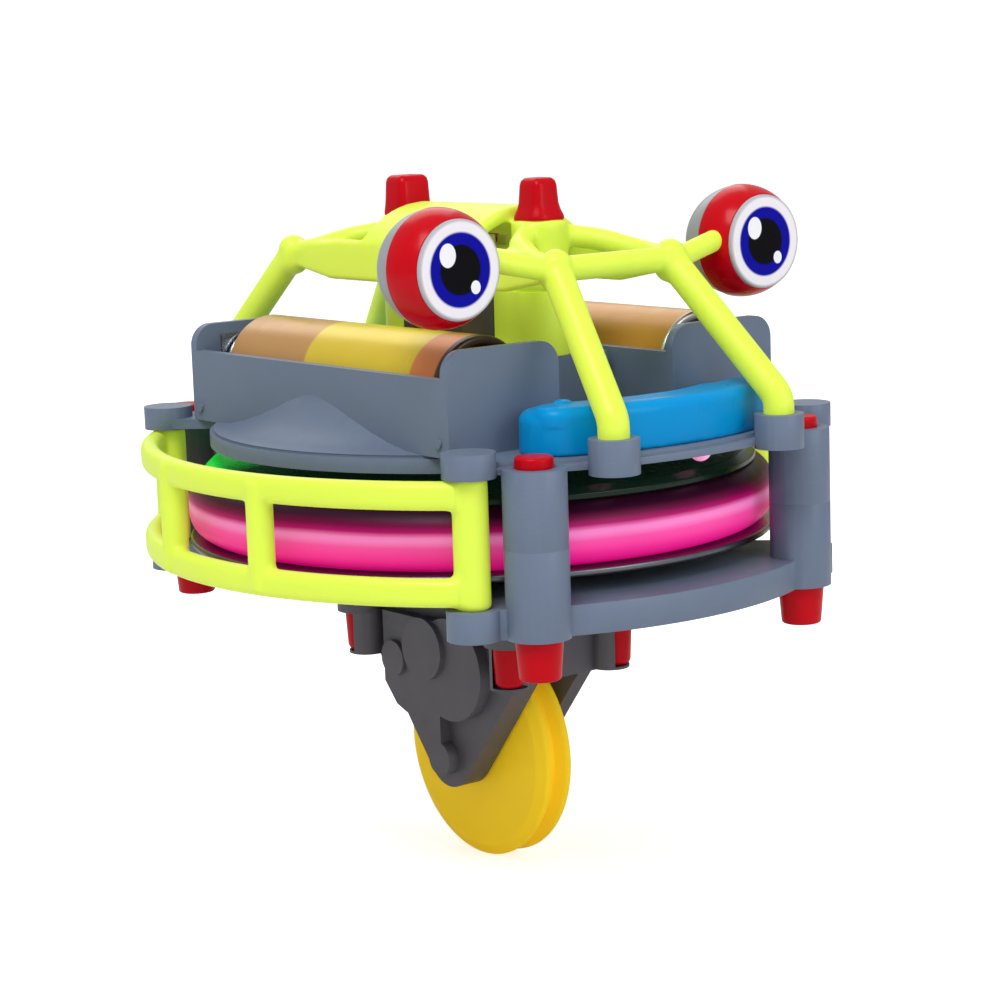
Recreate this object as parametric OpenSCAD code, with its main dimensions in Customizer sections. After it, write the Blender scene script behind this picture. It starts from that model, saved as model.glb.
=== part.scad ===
// Light-up gyroscope top that balances and rolls on one grooved wheel.
// +X is forward, +Y is the toy's left, +Z is up. The origin is on the spin axis,
// at the level of the road wheel's lowest point. All sizes are in millimetres.

/* [Road wheel] */
// Radius of the road wheel
wheel_r = 15.6; // [14:0.1:15.6]
// Half the width of the road wheel
wheel_half_w = 3.0; // [2.4:0.1:3.1]
// Depth of the line groove round the wheel
groove_depth = 2.0; // [1:0.1:2.6]

/* [Frames] */
// Radius of the circle on which the four posts stand
post_ring_r = 46.4; // [46:0.1:48]
// Angle of a post from straight ahead
post_angle = 29.5; // [28:0.5:31]
// Radius of a post
post_r = 4.1; // [3.6:0.1:4.3]
// Underside of the lower frame
lower_z = 41.2; // [41:0.1:41.4]
// Height of the seam between the two halves of a post
seam_z = 52.6; // [50:0.1:54]
// Underside of the upper frame's plate
plate_z = 61.8; // [61.6:0.1:62]
// Thickness of the upper frame's plate
plate_t = 1.4; // [1.2:0.1:1.6]
// Radius of the upper frame's plate
plate_r = 45.8; // [45:0.1:46.5]

/* [Flywheel] */
// Radius of the glowing rim
rim_r = 41.0; // [38:0.1:41.2]
// Underside of the flywheel's flange
flange_z = 47.3; // [47:0.1:47.5]
// Height of the glowing rim
rim_h = 8.5; // [7:0.1:9]

/* [Guards and cage] */
// Radius of the curve that a side guard's outer face follows
guard_r = 53.1; // [52.6:0.1:53.6]
// How far the centre of that curve lies beyond the spin axis
guard_shift = 6.8; // [6.6:0.1:7]
// Height of a guard's bars
guard_bar_h = 3.6; // [3:0.1:4]
// Half length of the cage between its corners
cage_x = 29.9; // [29:0.1:31]
// Half width of the cage between its corners
cage_y = 9.84; // [9.5:0.01:10.2]
// Height of the cage's corners
cage_z = 85.6; // [85:0.1:86.5]

/* [Eyes] */
// Radius of an eye ball
eye_r = 7.7; // [7:0.1:8]
// Height of an eye's centre
eye_z = 86.8; // [86:0.1:88]

/* [Batteries] */
// Radius of one battery cell
cell_r = 7.25; // [7:0.05:7.25]
// Half length of a battery box
box_x = 30.0; // [29.8:0.1:30.5]

/* [Gears] */
// Tooth size (module) of the spur gears
gear_m = 0.6; // [0.6:0.05:0.6]
// Teeth on the worm wheel
worm_wheel_teeth = 16; // [16:1:16]
// Teeth on the cluster's large gear
big_teeth = 24; // [24:1:24]
// Teeth on the cluster's small gear
small_teeth = 19; // [19:1:19]
// Teeth on the road wheel's gear
final_teeth = 13; // [13:1:13]
// Teeth on the first pinion and on the idler
pinion_teeth = 10; // [10:1:10]

/* [Hidden] */
$fn = 64;
eps = 0.01;

// Colours
slate = "#78808f";
neon = "#d8f050";
red = "#cc0018";
blue = "#00a0e8";
pink = "#f0208c";
green = "#20c840";
yellow = "#e0b830";
charcoal = "#55525a";
steel = "#b8bcc4";
brass = "#c8a050";
ivory = "#e8e4d8";

// Frames
frame_h = 3.9;                          // height of the lower frame's rim
lower_r = 47.0;                         // outer radius of the lower frame
web_t = 1.4;                            // web inside the lower frame's rim
rim_band = 6.0;                         // width of the lower frame's raised rim
side_disc_r = 37.6;                     // both frames are narrower beside the guards
wing_angle = 43.5;                      // the front and rear wings reach this far round
plate_top = plate_z + plate_t;
post_top = plate_top - 0.6;
pin_r = 1.4;                            // shank of a red pin
guard_angle = 39.5;                     // angle of a guard's end from straight ahead
guard_lug_r = 3.45;
guard_lug_ring = 45.8;
guard_lug_top = 64.8;
guard_peg_r = 1.2;
guard_t = 2.6;                          // thickness of a guard's bars
guard_mid_x = 10.5;                     // distance of a guard's middle bars from its centre
cage_angle = 17.3;                      // angle of a cage leg's foot
cage_lug_ring = 47.7;
cage_lug_r = 3.25;
cage_lug_top = 65.8;
lug_drop = 0.5;                         // how far the upper lugs reach below the plate
foot_peg_r = 1.3;
foot_peg_h = 2.5;

// Shaft, bushes and flywheel
shaft_r = 1.0;
run_gap = 0.05;                         // radial clearance of a running shaft
shaft_bottom = 32.4;
shaft_top = 69.0;
bush_r = 2.6;
hub_r = 4.0;
hub_bottom = 46.5;
hub_top = 61.0;
flange_t = 1.0;
flange_top = flange_z + flange_t;
rim_in = 36.0;
rim_top = flange_top + rim_h;
weight_in = 22.0;
weight_out = 34.0;
weight_h = 5.0;

// Motor and tower
motor_r = 10.0;
motor_flat = 7.5;
motor_bottom = 64.6;
can_top = 84.2;
cap_top = 88.4;
tower_bottom = 72.8;
tower_top = 81.6;
tower_x = 14.6;
tower_r = 3.9;
pedestal_x = 18.4;
pedestal_y = 8.4;
boss_x = 14.8;
boss_r = 3.8;
boss_top = 91.0;
lead_xs = [-13, -10.9];                 // the two motor leads come down here
lead_y = 7.0;

// Battery boxes
box_in = 9.85;
box_out = 28.0;
box_wall = 1.4;
side_top = 73.1;
end_top = 76.7;
skirt_h = 6.8;
cell_y = (box_in + box_out) / 2;
cell_z = plate_top + cell_r + 0.05;
cell_len = 49.2;
cell_front = 25.6;                      // front end of a cell's case
nub_r = 2.75;
nub_h = 1.3;
plate_metal = 0.4;

// Blue covers
cover_out = 43.4;
cover_in = 33.0;
cover_h = 6.2;
cover_span = 30;                        // half the angle that a cover spans
cover_wall = 1.2;

// Road wheel and gear train; every gear turns about Y
axle_z = wheel_r;
worm_r = 2.0;                           // pitch radius of the worm
worm_m = 0.625;
worm_pitch = PI * worm_m;
worm_len = 6.6;
ww_r = worm_wheel_teeth * worm_m / 2;
worm_lead = atan(worm_pitch / (2 * PI * worm_r));
cluster_x = 2.0;
cluster_d = gear_m * (small_teeth + final_teeth) / 2;
cluster_z = axle_z + sqrt(cluster_d * cluster_d - cluster_x * cluster_x);
idler_d = gear_m * (pinion_teeth + big_teeth) / 2;
idler_rise = 30;                        // angle of the idler seen from the cluster
idler_x = cluster_x - idler_d * cos(idler_rise);
idler_z = cluster_z + idler_d * sin(idler_rise);
first_x = -(worm_r + ww_r);
first_d = gear_m * pinion_teeth;
first_z = idler_z + sqrt(first_d * first_d - pow(first_x - idler_x, 2));
worm_z = first_z - worm_len / 2;
inner_plane = [-5.5, -4.7];             // Y range of the small gear and the final gear
outer_plane = [-6.7, -5.8];             // Y range of the pinions and the large gear
axle_end = 7.0;                         // the idler's and the cluster's axles reach this far out

// Gear case
case_x = 16.0;
case_bottom = 28.0;
case_top = lower_z;
ear_plate_z = 39.6;
tip_r = 4.8;
arm_in = 3.5;
inner_wall = 4.4;                       // outer face of the case's inner right wall
left_wall = 5.9;
cover_face = 7.4;                       // outer face of the cover at the wheel's axle
bulge_face = 9.2;                       // outer face of the cover's raised parts
boss_face = 9.9;                        // outer face of the bosses on the raised parts
peg_x = 17.2;
peg_y = 9.5;
peg_top_r = 2.3;
peg_bottom = 28.6;
ear_r = 3.4;
ear_bottom = 34.4;

// Switch on the rear cover
switch_x = -38.2;
switch_travel = 2.5;
slider_w = 2.4;

function polar(r, a) = [r * cos(a), r * sin(a)];
function gear_r(teeth) = gear_m * teeth / 2;
function involute(r, rb) = r <= rb ? 0 : tan(acos(rb / r)) * 180 / PI - acos(rb / r);

// Outline of a spur gear with straight-sided chords on involute flanks.
function gear_outline(teeth, backlash = 0.13) =
    let (r = gear_r(teeth), rb = r * cos(20), ro = r + 0.7 * gear_m, ri = r - 1.15 * gear_m,
         half = 90 / teeth - backlash / r * 90 / PI,
         rs = [ri, max(rb, ri + 0.1), r, ro])
    [for (t = [0 : teeth - 1], k = [-3 : 4])
        let (i = k <= 0 ? 3 + k : 4 - k, s = k <= 0 ? -1 : 1, q = rs[i],
             a = half + involute(r, rb) - involute(q, rb))
        polar(q, t * 360 / teeth + s * a)];

// Tangent point on the tip circle for the slanting edge that starts at (x, z).
function tip_tangent(x, z) =
    let (d = sqrt(x * x + pow(z - axle_z, 2)), a = atan2(z - axle_z, x) - acos(tip_r / d))
    [tip_r * cos(a), axle_z + tip_r * sin(a)];

module at_polar(r, a, z = 0) { translate([r * cos(a), r * sin(a), z]) children(); }

// Copies at the four angles that are mirror images of a about X and Y.
module four(r, a, z = 0) { for (b = [a, -a, 180 - a, 180 + a]) at_polar(r, b, z) children(); }

module ring(ro, ri, h) {
    difference() {
        cylinder(r = ro, h = h);
        translate([0, 0, -1]) cylinder(r = ri, h = h + 2);
    }
}

// A round bar from p to q.
module rod(p, q, r) {
    v = q - p;
    translate(p) rotate([0, acos(v[2] / norm(v)), atan2(v[1], v[0])]) cylinder(r = r, h = norm(v));
}

// Round bars along a list of points, each run a little past its ends so that the bends close.
module bent_rod(points, r) {
    for (i = [0 : len(points) - 2]) {
        v = points[i + 1] - points[i];
        lap = 0.3 * r * v / norm(v);
        rod(points[i] - lap, points[i + 1] + lap, r);
    }
}

// A 2D child drawn in the XZ plane and extruded between two Y values.
module along_y(y0, y1) { translate([0, y1, 0]) rotate([90, 0, 0]) linear_extrude(y1 - y0) children(); }

module pin_y(x, z, r, y0, y1) { along_y(y0, y1) translate([x, z]) circle(r = r); }

module sector(a0, a1, r) {
    polygon([[0, 0], polar(2 * r, a0), polar(2 * r, (a0 + a1) / 2), polar(2 * r, a1)]);
}

// ---- Frames ----
// The front and rear wings of a frame, out to radius r.
module wings(r) {
    intersection() {
        circle(r = r, $fn = 96);
        union() {
            sector(-wing_angle, wing_angle, r);
            sector(180 - wing_angle, 180 + wing_angle, r);
        }
    }
}

module lower_frame() {
    rim_z = lower_z + frame_h;
    color(slate) difference() {
        union() {
            difference() {
                translate([0, 0, lower_z]) linear_extrude(frame_h) wings(lower_r);
                translate([0, 0, lower_z - 1]) cylinder(r = lower_r - rim_band, h = frame_h - web_t + 1);
            }
            translate([0, 0, rim_z - web_t]) cylinder(r = side_disc_r - 1, h = web_t);
            translate([0, 0, lower_z + 0.8]) cylinder(r = bush_r + 1.8, h = frame_h);
            four(post_ring_r, post_angle, lower_z) cylinder(r = post_r, h = seam_z - lower_z);
            four(guard_lug_ring, guard_angle, lower_z) cylinder(r = guard_lug_r, h = frame_h);
            peg_spots(lower_z) cylinder(r = ear_r, h = frame_h);
        }
        translate([0, 0, lower_z]) cylinder(r = bush_r, h = 10);
        four(post_ring_r, post_angle, lower_z - 1) cylinder(r = pin_r, h = 20);
        four(guard_lug_ring, guard_angle, lower_z + 1.5) cylinder(r = guard_peg_r, h = 5);
        peg_spots(lower_z - 1) cylinder(r = pin_r, h = 4);
    }
}

module box_walls(side) {
    y0 = side > 0 ? box_in : -box_out;
    w = box_out - box_in;
    translate([-box_x, y0, plate_top - eps]) difference() {
        cube([2 * box_x, w, side_top - plate_top + eps]);
        translate([box_wall, box_wall, -1])
            cube([2 * (box_x - box_wall), w - 2 * box_wall, side_top - plate_top + 3]);
    }
    // taller end walls with rounded top corners
    for (x = [-box_x, box_x - box_wall]) translate([x, 0, 0]) rotate([90, 0, 90])
        linear_extrude(box_wall) {
            translate([y0, side_top - 1]) square([w, end_top - side_top + 1 - 3]);
            translate([y0 + 3, side_top - 1]) square([w - 6, end_top - side_top + 1]);
            for (y = [y0 + 3, y0 + w - 3]) translate([y, end_top - 3]) circle(r = 3);
        }
}

// Coved skirt from a box's outer wall down to the edge of the disc, and two small bumps beside it
module skirt() {
    reach = side_disc_r - 0.5 - box_out + 0.3;
    cove = [for (t = [0 : 15 : 90]) [box_out - 0.3 + reach * (1 - sin(t)) + 0.35 * sin(2 * t),
        skirt_h * (1 - cos(t)) + 0.1 * sin(t)]];
    intersection() {
        translate([0, 0, plate_top - eps]) rotate_extrude($fn = 128)
            polygon(concat([[box_in + 8, 0]], cove, [[box_in + 8, skirt_h + 0.1]]));
        translate([-box_x, box_out - 0.7, plate_top - 1]) cube([2 * box_x, 12, skirt_h + 2]);
    }
    for (x = [-28, 28]) pin_y(x, 65, 0.6, box_out - 0.5, box_out + 0.35);
}

module upper_frame() {
    color(slate) difference() {
        union() {
            difference() {
                translate([0, 0, plate_z]) linear_extrude(plate_t) wings(plate_r);
                translate([0, 0, plate_top - 0.5]) ring(plate_r + 5, plate_r - 1.2, 1);
            }
            translate([0, 0, plate_z]) cylinder(r = side_disc_r - 0.6, h = plate_t);
            translate([0, 0, plate_z - 0.9]) ring(side_disc_r, side_disc_r - 1.4, plate_t + 0.5);
            four(post_ring_r, post_angle, seam_z) cylinder(r = post_r, h = post_top - seam_z);
            four(guard_lug_ring, guard_angle, plate_z - 0.2)
                cylinder(r = guard_lug_r, h = guard_lug_top - plate_z + 0.2);
            four(cage_lug_ring, cage_angle, plate_z - lug_drop)
                cylinder(r = cage_lug_r, h = cage_lug_top - plate_z + lug_drop);
            box_walls(1);
            box_walls(-1);
            skirt();
            mirror([0, 1, 0]) skirt();
            translate([-pedestal_x, -pedestal_y, plate_z + eps])
                cube([2 * pedestal_x, 2 * pedestal_y, tower_bottom - plate_z - eps]);
        }
        translate([0, 0, plate_z - 2]) cylinder(r = bush_r, h = 10);
        translate([0, 0, motor_bottom]) motor_solid(10);
        four(post_ring_r, post_angle, seam_z - 1) cylinder(r = pin_r, h = 20);
        four(post_ring_r, post_angle, post_top) cylinder(r = 2.6, h = 3);
        four(guard_lug_ring, guard_angle, plate_z - 1) cylinder(r = guard_peg_r, h = 3);
        four(cage_lug_ring, cage_angle, cage_lug_top - foot_peg_h) cylinder(r = foot_peg_r, h = 5);
        for (a = [-12, 12, 168, 192]) at_polar(38, a, plate_z - 1) cylinder(r = 1.5, h = 5);
        for (s = [-1, 1]) translate([s * boss_x, 0, tower_bottom - 4]) cylinder(r = pin_r, h = 5);
        for (x = lead_xs) translate([x, lead_y, plate_z - 1]) cylinder(r = 0.7, h = 20);
    }
}

module post_pins() {
    color(red) four(post_ring_r, post_angle) {
        translate([0, 0, post_top]) cylinder(r1 = 2.4, r2 = 2.1, h = 1.5);
        translate([0, 0, lower_z - 1]) cylinder(r = pin_r, h = post_top - lower_z + 1.5);
        translate([0, 0, lower_z - 5.3]) cylinder(r1 = 2.65, r2 = 3.1, h = 5.3);
    }
}

// ---- Side guards ----
// One curved bar; its angles are counted from straight sideways.
module guard_bar(z0, half) {
    mid = guard_r - guard_t / 2;
    translate([0, 0, z0]) linear_extrude(guard_bar_h) {
        intersection() {
            difference() {
                circle(r = guard_r, $fn = 128);
                circle(r = guard_r - guard_t, $fn = 128);
            }
            sector(90 - half, 90 + half, guard_r);
        }
        for (b = [-half, half]) rotate(90 + b) translate([mid, 0]) circle(r = guard_t / 2);
    }
}

module guard() {
    lo = lower_z + frame_h;
    hi = plate_z - 0.2;
    mid = guard_r - guard_t / 2;
    translate([0, -guard_shift, 0]) {
        for (z = [lo + 0.5, hi - 0.2 - guard_bar_h])
            guard_bar(z, asin(guard_lug_ring * cos(guard_angle) / mid));
        for (b = [-1, 1]) at_polar(mid, 90 + b * asin(guard_mid_x / mid), lo + 1)
            cylinder(r = 1.7, h = hi - lo - 2);
    }
    for (b = [-1, 1]) at_polar(guard_lug_ring, 90 + b * (90 - guard_angle)) {
        translate([0, 0, lo]) cylinder(r = 2.3, h = hi - lo);
        translate([0, 0, lo - 2]) cylinder(r = guard_peg_r, h = hi - lo + 4);
    }
}

module left_guard() { color(neon) guard(); }
module right_guard() { color(neon) mirror([0, 1, 0]) guard(); }

// ---- Cage ----
module dome() {
    // arched roof between the bosses: a slice of a tube along X
    intersection() {
        translate([-11.6, 0, 78.9]) rotate([0, 90, 0]) difference() {
            cylinder(r = 14.0, h = 23.2);
            translate([0, 0, -1]) cylinder(r = 12.0, h = 26);
        }
        translate([-15, -cage_y - 1.1, 86]) cube([30, 2 * cage_y + 2.2, 10]);
    }
}

module side_plate() {
    y = cage_y - 1.1;
    difference() {
        along_y(y, y + 2.2) polygon([
            [-cage_x, cage_z - 1.7], [-20, 82.2], [20, 82.2], [cage_x, cage_z - 1.7],
            [cage_x, cage_z + 1.7], [17, 87.9], [-17, 87.9], [-cage_x, cage_z + 1.7]]);
        for (x = [-13.4, 13.4]) pin_y(x, 85.4, 1.3, y - 1, y + 4);
    }
}

module cage_quarter() {
    corner = [cage_x, cage_y, cage_z];
    foot = concat(polar(cage_lug_ring, cage_angle), [cage_lug_top]);
    knee = foot + [0, 0, 2.6];
    rod(knee, corner, 2.0);
    translate(corner - [0, 0, 1.9]) cylinder(r = 2.3, h = 3.9);
    rod(foot, knee + [0, 0, 0.5], 2.05);
    rod(foot - [0, 0, foot_peg_h], foot + [0, 0, 1], foot_peg_r);
    rod(corner, [cage_x, 0, cage_z - 0.1], 1.75);
    bent_rod([[boss_x, 2.2, 89.2], [19.2, 7.2, 88.0], [24.6, 9.4, 86.4], corner], 1.55);
}

module stalk() {
    rod([cage_x, cage_y, cage_z], [28.4, 18.8, 87.3], 1.45);
}

module cage() {
    color(neon) difference() {
        union() {
            dome();
            for (s = [0, 1]) mirror([0, s, 0]) {
                side_plate();
                stalk();
                for (t = [0, 1]) mirror([t, 0, 0]) cage_quarter();
            }
            for (s = [-1, 1]) translate([s * boss_x, 0, tower_top])
                cylinder(r = boss_r, h = boss_top - tower_top);
        }
        for (s = [-1, 1]) translate([s * boss_x, 0, tower_top - 1]) cylinder(r = pin_r, h = 20);
    }
}

module cage_caps() {
    color(red) for (s = [-1, 1]) translate([s * boss_x, 0, 0]) {
        translate([0, 0, boss_top]) cylinder(r1 = 3.1, r2 = 2.4, h = 1.2);
        translate([0, 0, boss_top + 1]) cylinder(r1 = 2.45, r2 = 2.1, h = 4.6);
        translate([0, 0, tower_bottom - 3]) cylinder(r = pin_r, h = boss_top - tower_bottom + 3.5);
    }
}

// ---- Motor tower ----
module tower_column() {
    translate([0, 0, tower_bottom]) difference() {
        union() {
            translate([tower_x, 0, 0]) cylinder(r = tower_r, h = tower_top - tower_bottom);
            translate([4, -tower_r, 0]) cube([tower_x - 4, 2 * tower_r, tower_top - tower_bottom]);
            translate([4, -motor_flat, 0]) cube([5.5, 2 * motor_flat, 2.2]);
        }
        translate([0, 0, -1]) cylinder(r = motor_r, h = 20);
        translate([boss_x, 0, -1]) cylinder(r = pin_r, h = 20);
    }
}

module tower_front() { color(neon) tower_column(); }
module tower_rear() { color(neon) mirror([1, 0, 0]) tower_column(); }

// A round can with two flats, standing on Z = 0.
module motor_solid(h) {
    intersection() {
        cylinder(r = motor_r, h = h);
        translate([-motor_r - 1, -motor_flat, 0]) cube([2 * motor_r + 2, 2 * motor_flat, h]);
    }
}

module motor_can() {
    color(charcoal) difference() {
        translate([0, 0, motor_bottom]) motor_solid(can_top - motor_bottom);
        translate([0, 0, motor_bottom - 1]) cylinder(r = shaft_r + run_gap, h = 3);
        translate([0, 0, motor_bottom + 1]) cylinder(r = 7, h = can_top - motor_bottom - 2.2);
    }
}

module motor_end_cap() {
    color(ivory) union() {
        translate([0, 0, can_top]) motor_solid(2.6);
        translate([0, 0, can_top]) cylinder(r = 3.2, h = cap_top - can_top);
        for (s = [-1, 1]) translate([-1, s * 5.4 - 0.3, can_top + 2]) cube([2, 0.6, 1.9]);
    }
}

// Both leads come down on the left side of the motor.
module motor_leads() {
    lead_z = can_top + 3.3;
    color(red) {
        rod([-1.9, 5.4, lead_z], [lead_xs[0], lead_y, lead_z], 0.6);
        rod([-1.9, -5.4, lead_z], [lead_xs[1], lead_y, lead_z], 0.6);
        for (x = lead_xs) translate([x, lead_y, plate_z + 3]) cylinder(r = 0.65, h = lead_z - plate_z - 2.2);
    }
}

// ---- Eyes ----
module eye_ball(x0, x1) {
    difference() {
        intersection() {
            sphere(r = eye_r);
            translate([x0, -10, -10]) cube([x1 - x0, 20, 20]);
        }
        intersection() {
            sphere(r = eye_r - 1.3);
            translate([-10, -10, -10]) cube([13.2, 20, 20]);
        }
    }
}

module eye_front() {
    difference() {
        translate([26.5, 26.1, eye_z]) eye_ball(-0.5, 4.2);
        stalk();
    }
}

module eye_back() {
    difference() {
        translate([26.5, 26.1, eye_z]) eye_ball(-eye_r - 1, -0.5);
        stalk();
    }
}

module eye_disc() {
    translate([26.5 + 4.2, 26.1, eye_z]) rotate([0, 90, 0]) cylinder(r = 6.35, h = 0.5);
}

module left_eye_front() { color(red) eye_front(); }
module left_eye_back() { color("#9a9aa2") eye_back(); }
module left_eye_disc() { color("white") eye_disc(); }
module right_eye_front() { color(red) mirror([0, 1, 0]) eye_front(); }
module right_eye_back() { color("#9a9aa2") mirror([0, 1, 0]) eye_back(); }
module right_eye_disc() { color("white") mirror([0, 1, 0]) eye_disc(); }

// ---- Covers, boards and switch ----
module cover_outline(inset) {
    mid = (cover_in + cover_out) / 2;
    half = (cover_out - cover_in) / 2 - inset;
    end_a = cover_span - asin(half / mid) - inset / mid * 180 / PI;
    intersection() {
        difference() {
            circle(r = mid + half, $fn = 96);
            circle(r = mid - half, $fn = 96);
        }
        sector(-end_a, end_a, cover_out);
    }
    for (s = [-1, 1]) rotate(s * end_a) translate([mid, 0]) circle(r = half);
}

module arc_cover() {
    difference() {
        union() {
            translate([0, 0, plate_top]) linear_extrude(cover_h - 1) cover_outline(0);
            translate([0, 0, plate_top + cover_h - 1 - eps]) linear_extrude(0.6) cover_outline(0.4);
            translate([0, 0, plate_top + cover_h - 0.5]) linear_extrude(0.5) cover_outline(1.0);
        }
        translate([0, 0, plate_top - 1]) linear_extrude(cover_h - cover_wall + 1) cover_outline(cover_wall);
        translate([0, 0, plate_top + cover_h - 0.8]) ring(37, 20, 2);
    }
}

module front_cover() {
    color(blue) union() {
        arc_cover();
        at_polar(39.3, -22, plate_top + cover_h - 0.4) cylinder(r = 1.1, h = 0.9);
    }
}

module rear_cover() {
    color(blue) difference() {
        mirror([1, 0, 0]) arc_cover();
        translate([switch_x - 1.6, -1.5, plate_top + 2]) cube([3.2, 3 + switch_travel, 10]);
    }
}

module circuit_boards() {
    color("#1c6b3c") for (m = [0, 1]) mirror([m, 0, 0]) difference() {
        translate([0, 0, plate_top]) linear_extrude(1) intersection() {
            cover_outline(cover_wall + 0.4);
            sector(-20, 20, cover_out);
        }
        for (a = [-12, 12]) at_polar(38, a, plate_top - 1) cylinder(r = 1.5, h = 3);
    }
}

module leds() {
    color("#ffd0ec") for (a = [-12, 12, 168, 192]) at_polar(38, a) {
        translate([0, 0, plate_z - 0.9]) cylinder(r = 1.5, h = plate_t + 1.9);
        translate([0, 0, plate_z - 0.9]) sphere(r = 1.5);
    }
}

module switch_body() {
    color(steel) difference() {
        translate([switch_x - 2, -4, plate_top + 1]) cube([4, 8 + switch_travel, 3]);
        translate([switch_x - 1.0, -2.2, plate_top + 2]) cube([2.0, 4.4 + switch_travel, 4]);
    }
}

module switch_slider() {
    color("black") union() {
        translate([switch_x - 0.7, -slider_w / 2 + 0.3, plate_top + 2.4]) cube([1.4, slider_w - 0.6, 4]);
        translate([switch_x - 1.2, -slider_w / 2, plate_top + 4.4]) cube([2.4, slider_w, 3.4]);
    }
}

// ---- Batteries ----
module cell(y) {
    translate([cell_front - cell_len, y, cell_z]) rotate([0, 90, 0]) {
        cylinder(r = cell_r, h = cell_len);
        translate([0, 0, cell_len]) cylinder(r = nub_r, h = nub_h);
    }
}

module right_cell() { color("#e0c840") cell(-cell_y); }
module left_cell() { color("#c89040") cell(cell_y); }

module contact_springs() {
    gap0 = -box_x + box_wall + plate_metal;
    n = 5;
    step = (cell_front - cell_len - gap0 - 0.7) / (n - 1);
    color(steel) for (s = [-1, 1]) translate([gap0 + 0.35, s * cell_y, cell_z]) rotate([0, 90, 0]) union() {
        for (i = [0 : n - 1]) translate([0, 0, i * step])
            rotate_extrude() translate([4.6 - 0.45 * i, 0]) circle(r = 0.35, $fn = 16);
        for (a = [0, 180]) rotate([0, 0, a]) rod([4.6, 0, 0], [4.6 - 0.45 * (n - 1), 0, (n - 1) * step], 0.3);
    }
}

module contact_plates() {
    color(steel) for (s = [-1, 1], x = [-box_x + box_wall, box_x - box_wall - plate_metal])
        translate([x, s * cell_y - 5, plate_top]) cube([plate_metal, 10, 12]);
    color(steel) for (s = [-1, 1]) translate([cell_front + nub_h, s * cell_y - 3, cell_z - 3])
        cube([box_x - box_wall - plate_metal - cell_front - nub_h, 6, 6]);
}

// ---- Flywheel ----
module bush(z0, z1) {
    translate([0, 0, z0]) ring(bush_r, shaft_r + run_gap, z1 - z0);
}

module upper_bush() { color(brass) bush(plate_z - 0.2, motor_bottom); }
module lower_bush() { color(brass) bush(lower_z + 0.6, hub_bottom - 0.35); }

module drive_shaft() {
    color(steel) translate([0, 0, shaft_bottom]) cylinder(r = shaft_r, h = shaft_top - shaft_bottom);
}

module flywheel_hub() {
    color(ivory) union() {
        translate([0, 0, hub_bottom]) ring(hub_r, shaft_r, hub_top - hub_bottom);
        translate([0, 0, flange_top]) ring(8, shaft_r, 1.4);
    }
}

module flywheel_flange() {
    color(steel) translate([0, 0, flange_z]) ring(rim_r, hub_r, flange_t);
}

module flywheel_weight() {
    color("#8c9098") translate([0, 0, flange_top]) ring(weight_out, weight_in, weight_h);
}

module flywheel_rim() {
    round_r = 3.2;
    mid = rim_r - round_r;
    color(pink) rotate_extrude($fn = 128) {
        translate([rim_in, flange_top]) square([mid - rim_in, rim_h]);
        translate([mid - eps, flange_top + round_r]) square([round_r + eps, rim_h - 2 * round_r]);
        for (z = [round_r, rim_h - round_r]) translate([mid, flange_top + z]) circle(r = round_r, $fn = 48);
    }
}

module flywheel_cover() {
    color(green) rotate_extrude($fn = 128) polygon([
        [rim_in, rim_top], [38.6, rim_top], [38.6, rim_top + 0.8], [37.6, rim_top + 1.7], [12, hub_top],
        [hub_r, hub_top], [hub_r, hub_top - 1.2], [12, hub_top - 1.2], [rim_in, rim_top + 0.7]]);
}

// ---- Worm drive ----
module worm() {
    top_r = worm_r + 0.45;
    root_r = worm_r - 0.65;
    points = [for (a = [0 : 18 : 342])
        let (b = a > 180 ? a - 360 : a, t = min(1, max(0, (abs(b) - 44) / 46)))
        polar(top_r + (root_r - top_r) * t, a)];
    turns = worm_len / worm_pitch;
    color(ivory) difference() {
        union() {
            translate([0, 0, worm_z]) rotate([0, 0, 360 * (first_z - worm_z) / worm_pitch])
                linear_extrude(worm_len, twist = 360 * turns, slices = 44) polygon(points);
            translate([0, 0, worm_z - 0.3]) cylinder(r = root_r + 0.1, h = worm_len + 0.8);
        }
        translate([0, 0, worm_z - 2]) cylinder(r = shaft_r, h = worm_len + 6);
    }
}

module worm_wheel() {
    root = ww_r - 0.7;
    color(ivory) translate([first_x, 0, first_z]) difference() {
        union() {
            rotate([90, 0, 0]) translate([0, 0, -1.1]) cylinder(r = root, h = 2.2);
            rotate([90, 0, 0]) translate([0, 0, -2.6]) cylinder(r = 2.0, h = 5.2);
            for (i = [0 : worm_wheel_teeth - 1]) rotate([0, i * 360 / worm_wheel_teeth, 0])
                rotate([worm_lead, 0, 0]) along_y(-1.1, 1.1) polygon([[root - 0.5, -0.5], [root, -0.48],
                    [ww_r, -0.34], [ww_r + 0.4, -0.24], [ww_r + 0.4, 0.24], [ww_r, 0.34],
                    [root, 0.48], [root - 0.5, 0.5]]);
        }
        rotate([90, 0, 0]) translate([0, 0, -5]) cylinder(r = shaft_r, h = 10);
    }
}

// ---- Spur gears ----
module spur(x, z, teeth, plane, phase, bore) {
    along_y(plane[0], plane[1]) translate([x, z]) difference() {
        rotate(phase) polygon(gear_outline(teeth));
        circle(r = bore);
    }
}

// Direction angles, in the XZ plane, between the gear centres
to_idler = atan2(idler_z - first_z, idler_x - first_x);
to_cluster = atan2(cluster_z - idler_z, cluster_x - idler_x);
to_final = atan2(axle_z - cluster_z, -cluster_x);

// The idler meets two gears, so its own phase sets both of them.
idler_phase = to_idler + 180 + 180 / pinion_teeth;

module first_shaft() { color(steel) pin_y(first_x, first_z, shaft_r, -7.0, left_wall); }

module first_pinion() {
    color(ivory) spur(first_x, first_z, pinion_teeth, outer_plane, to_idler, shaft_r);
}

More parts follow.
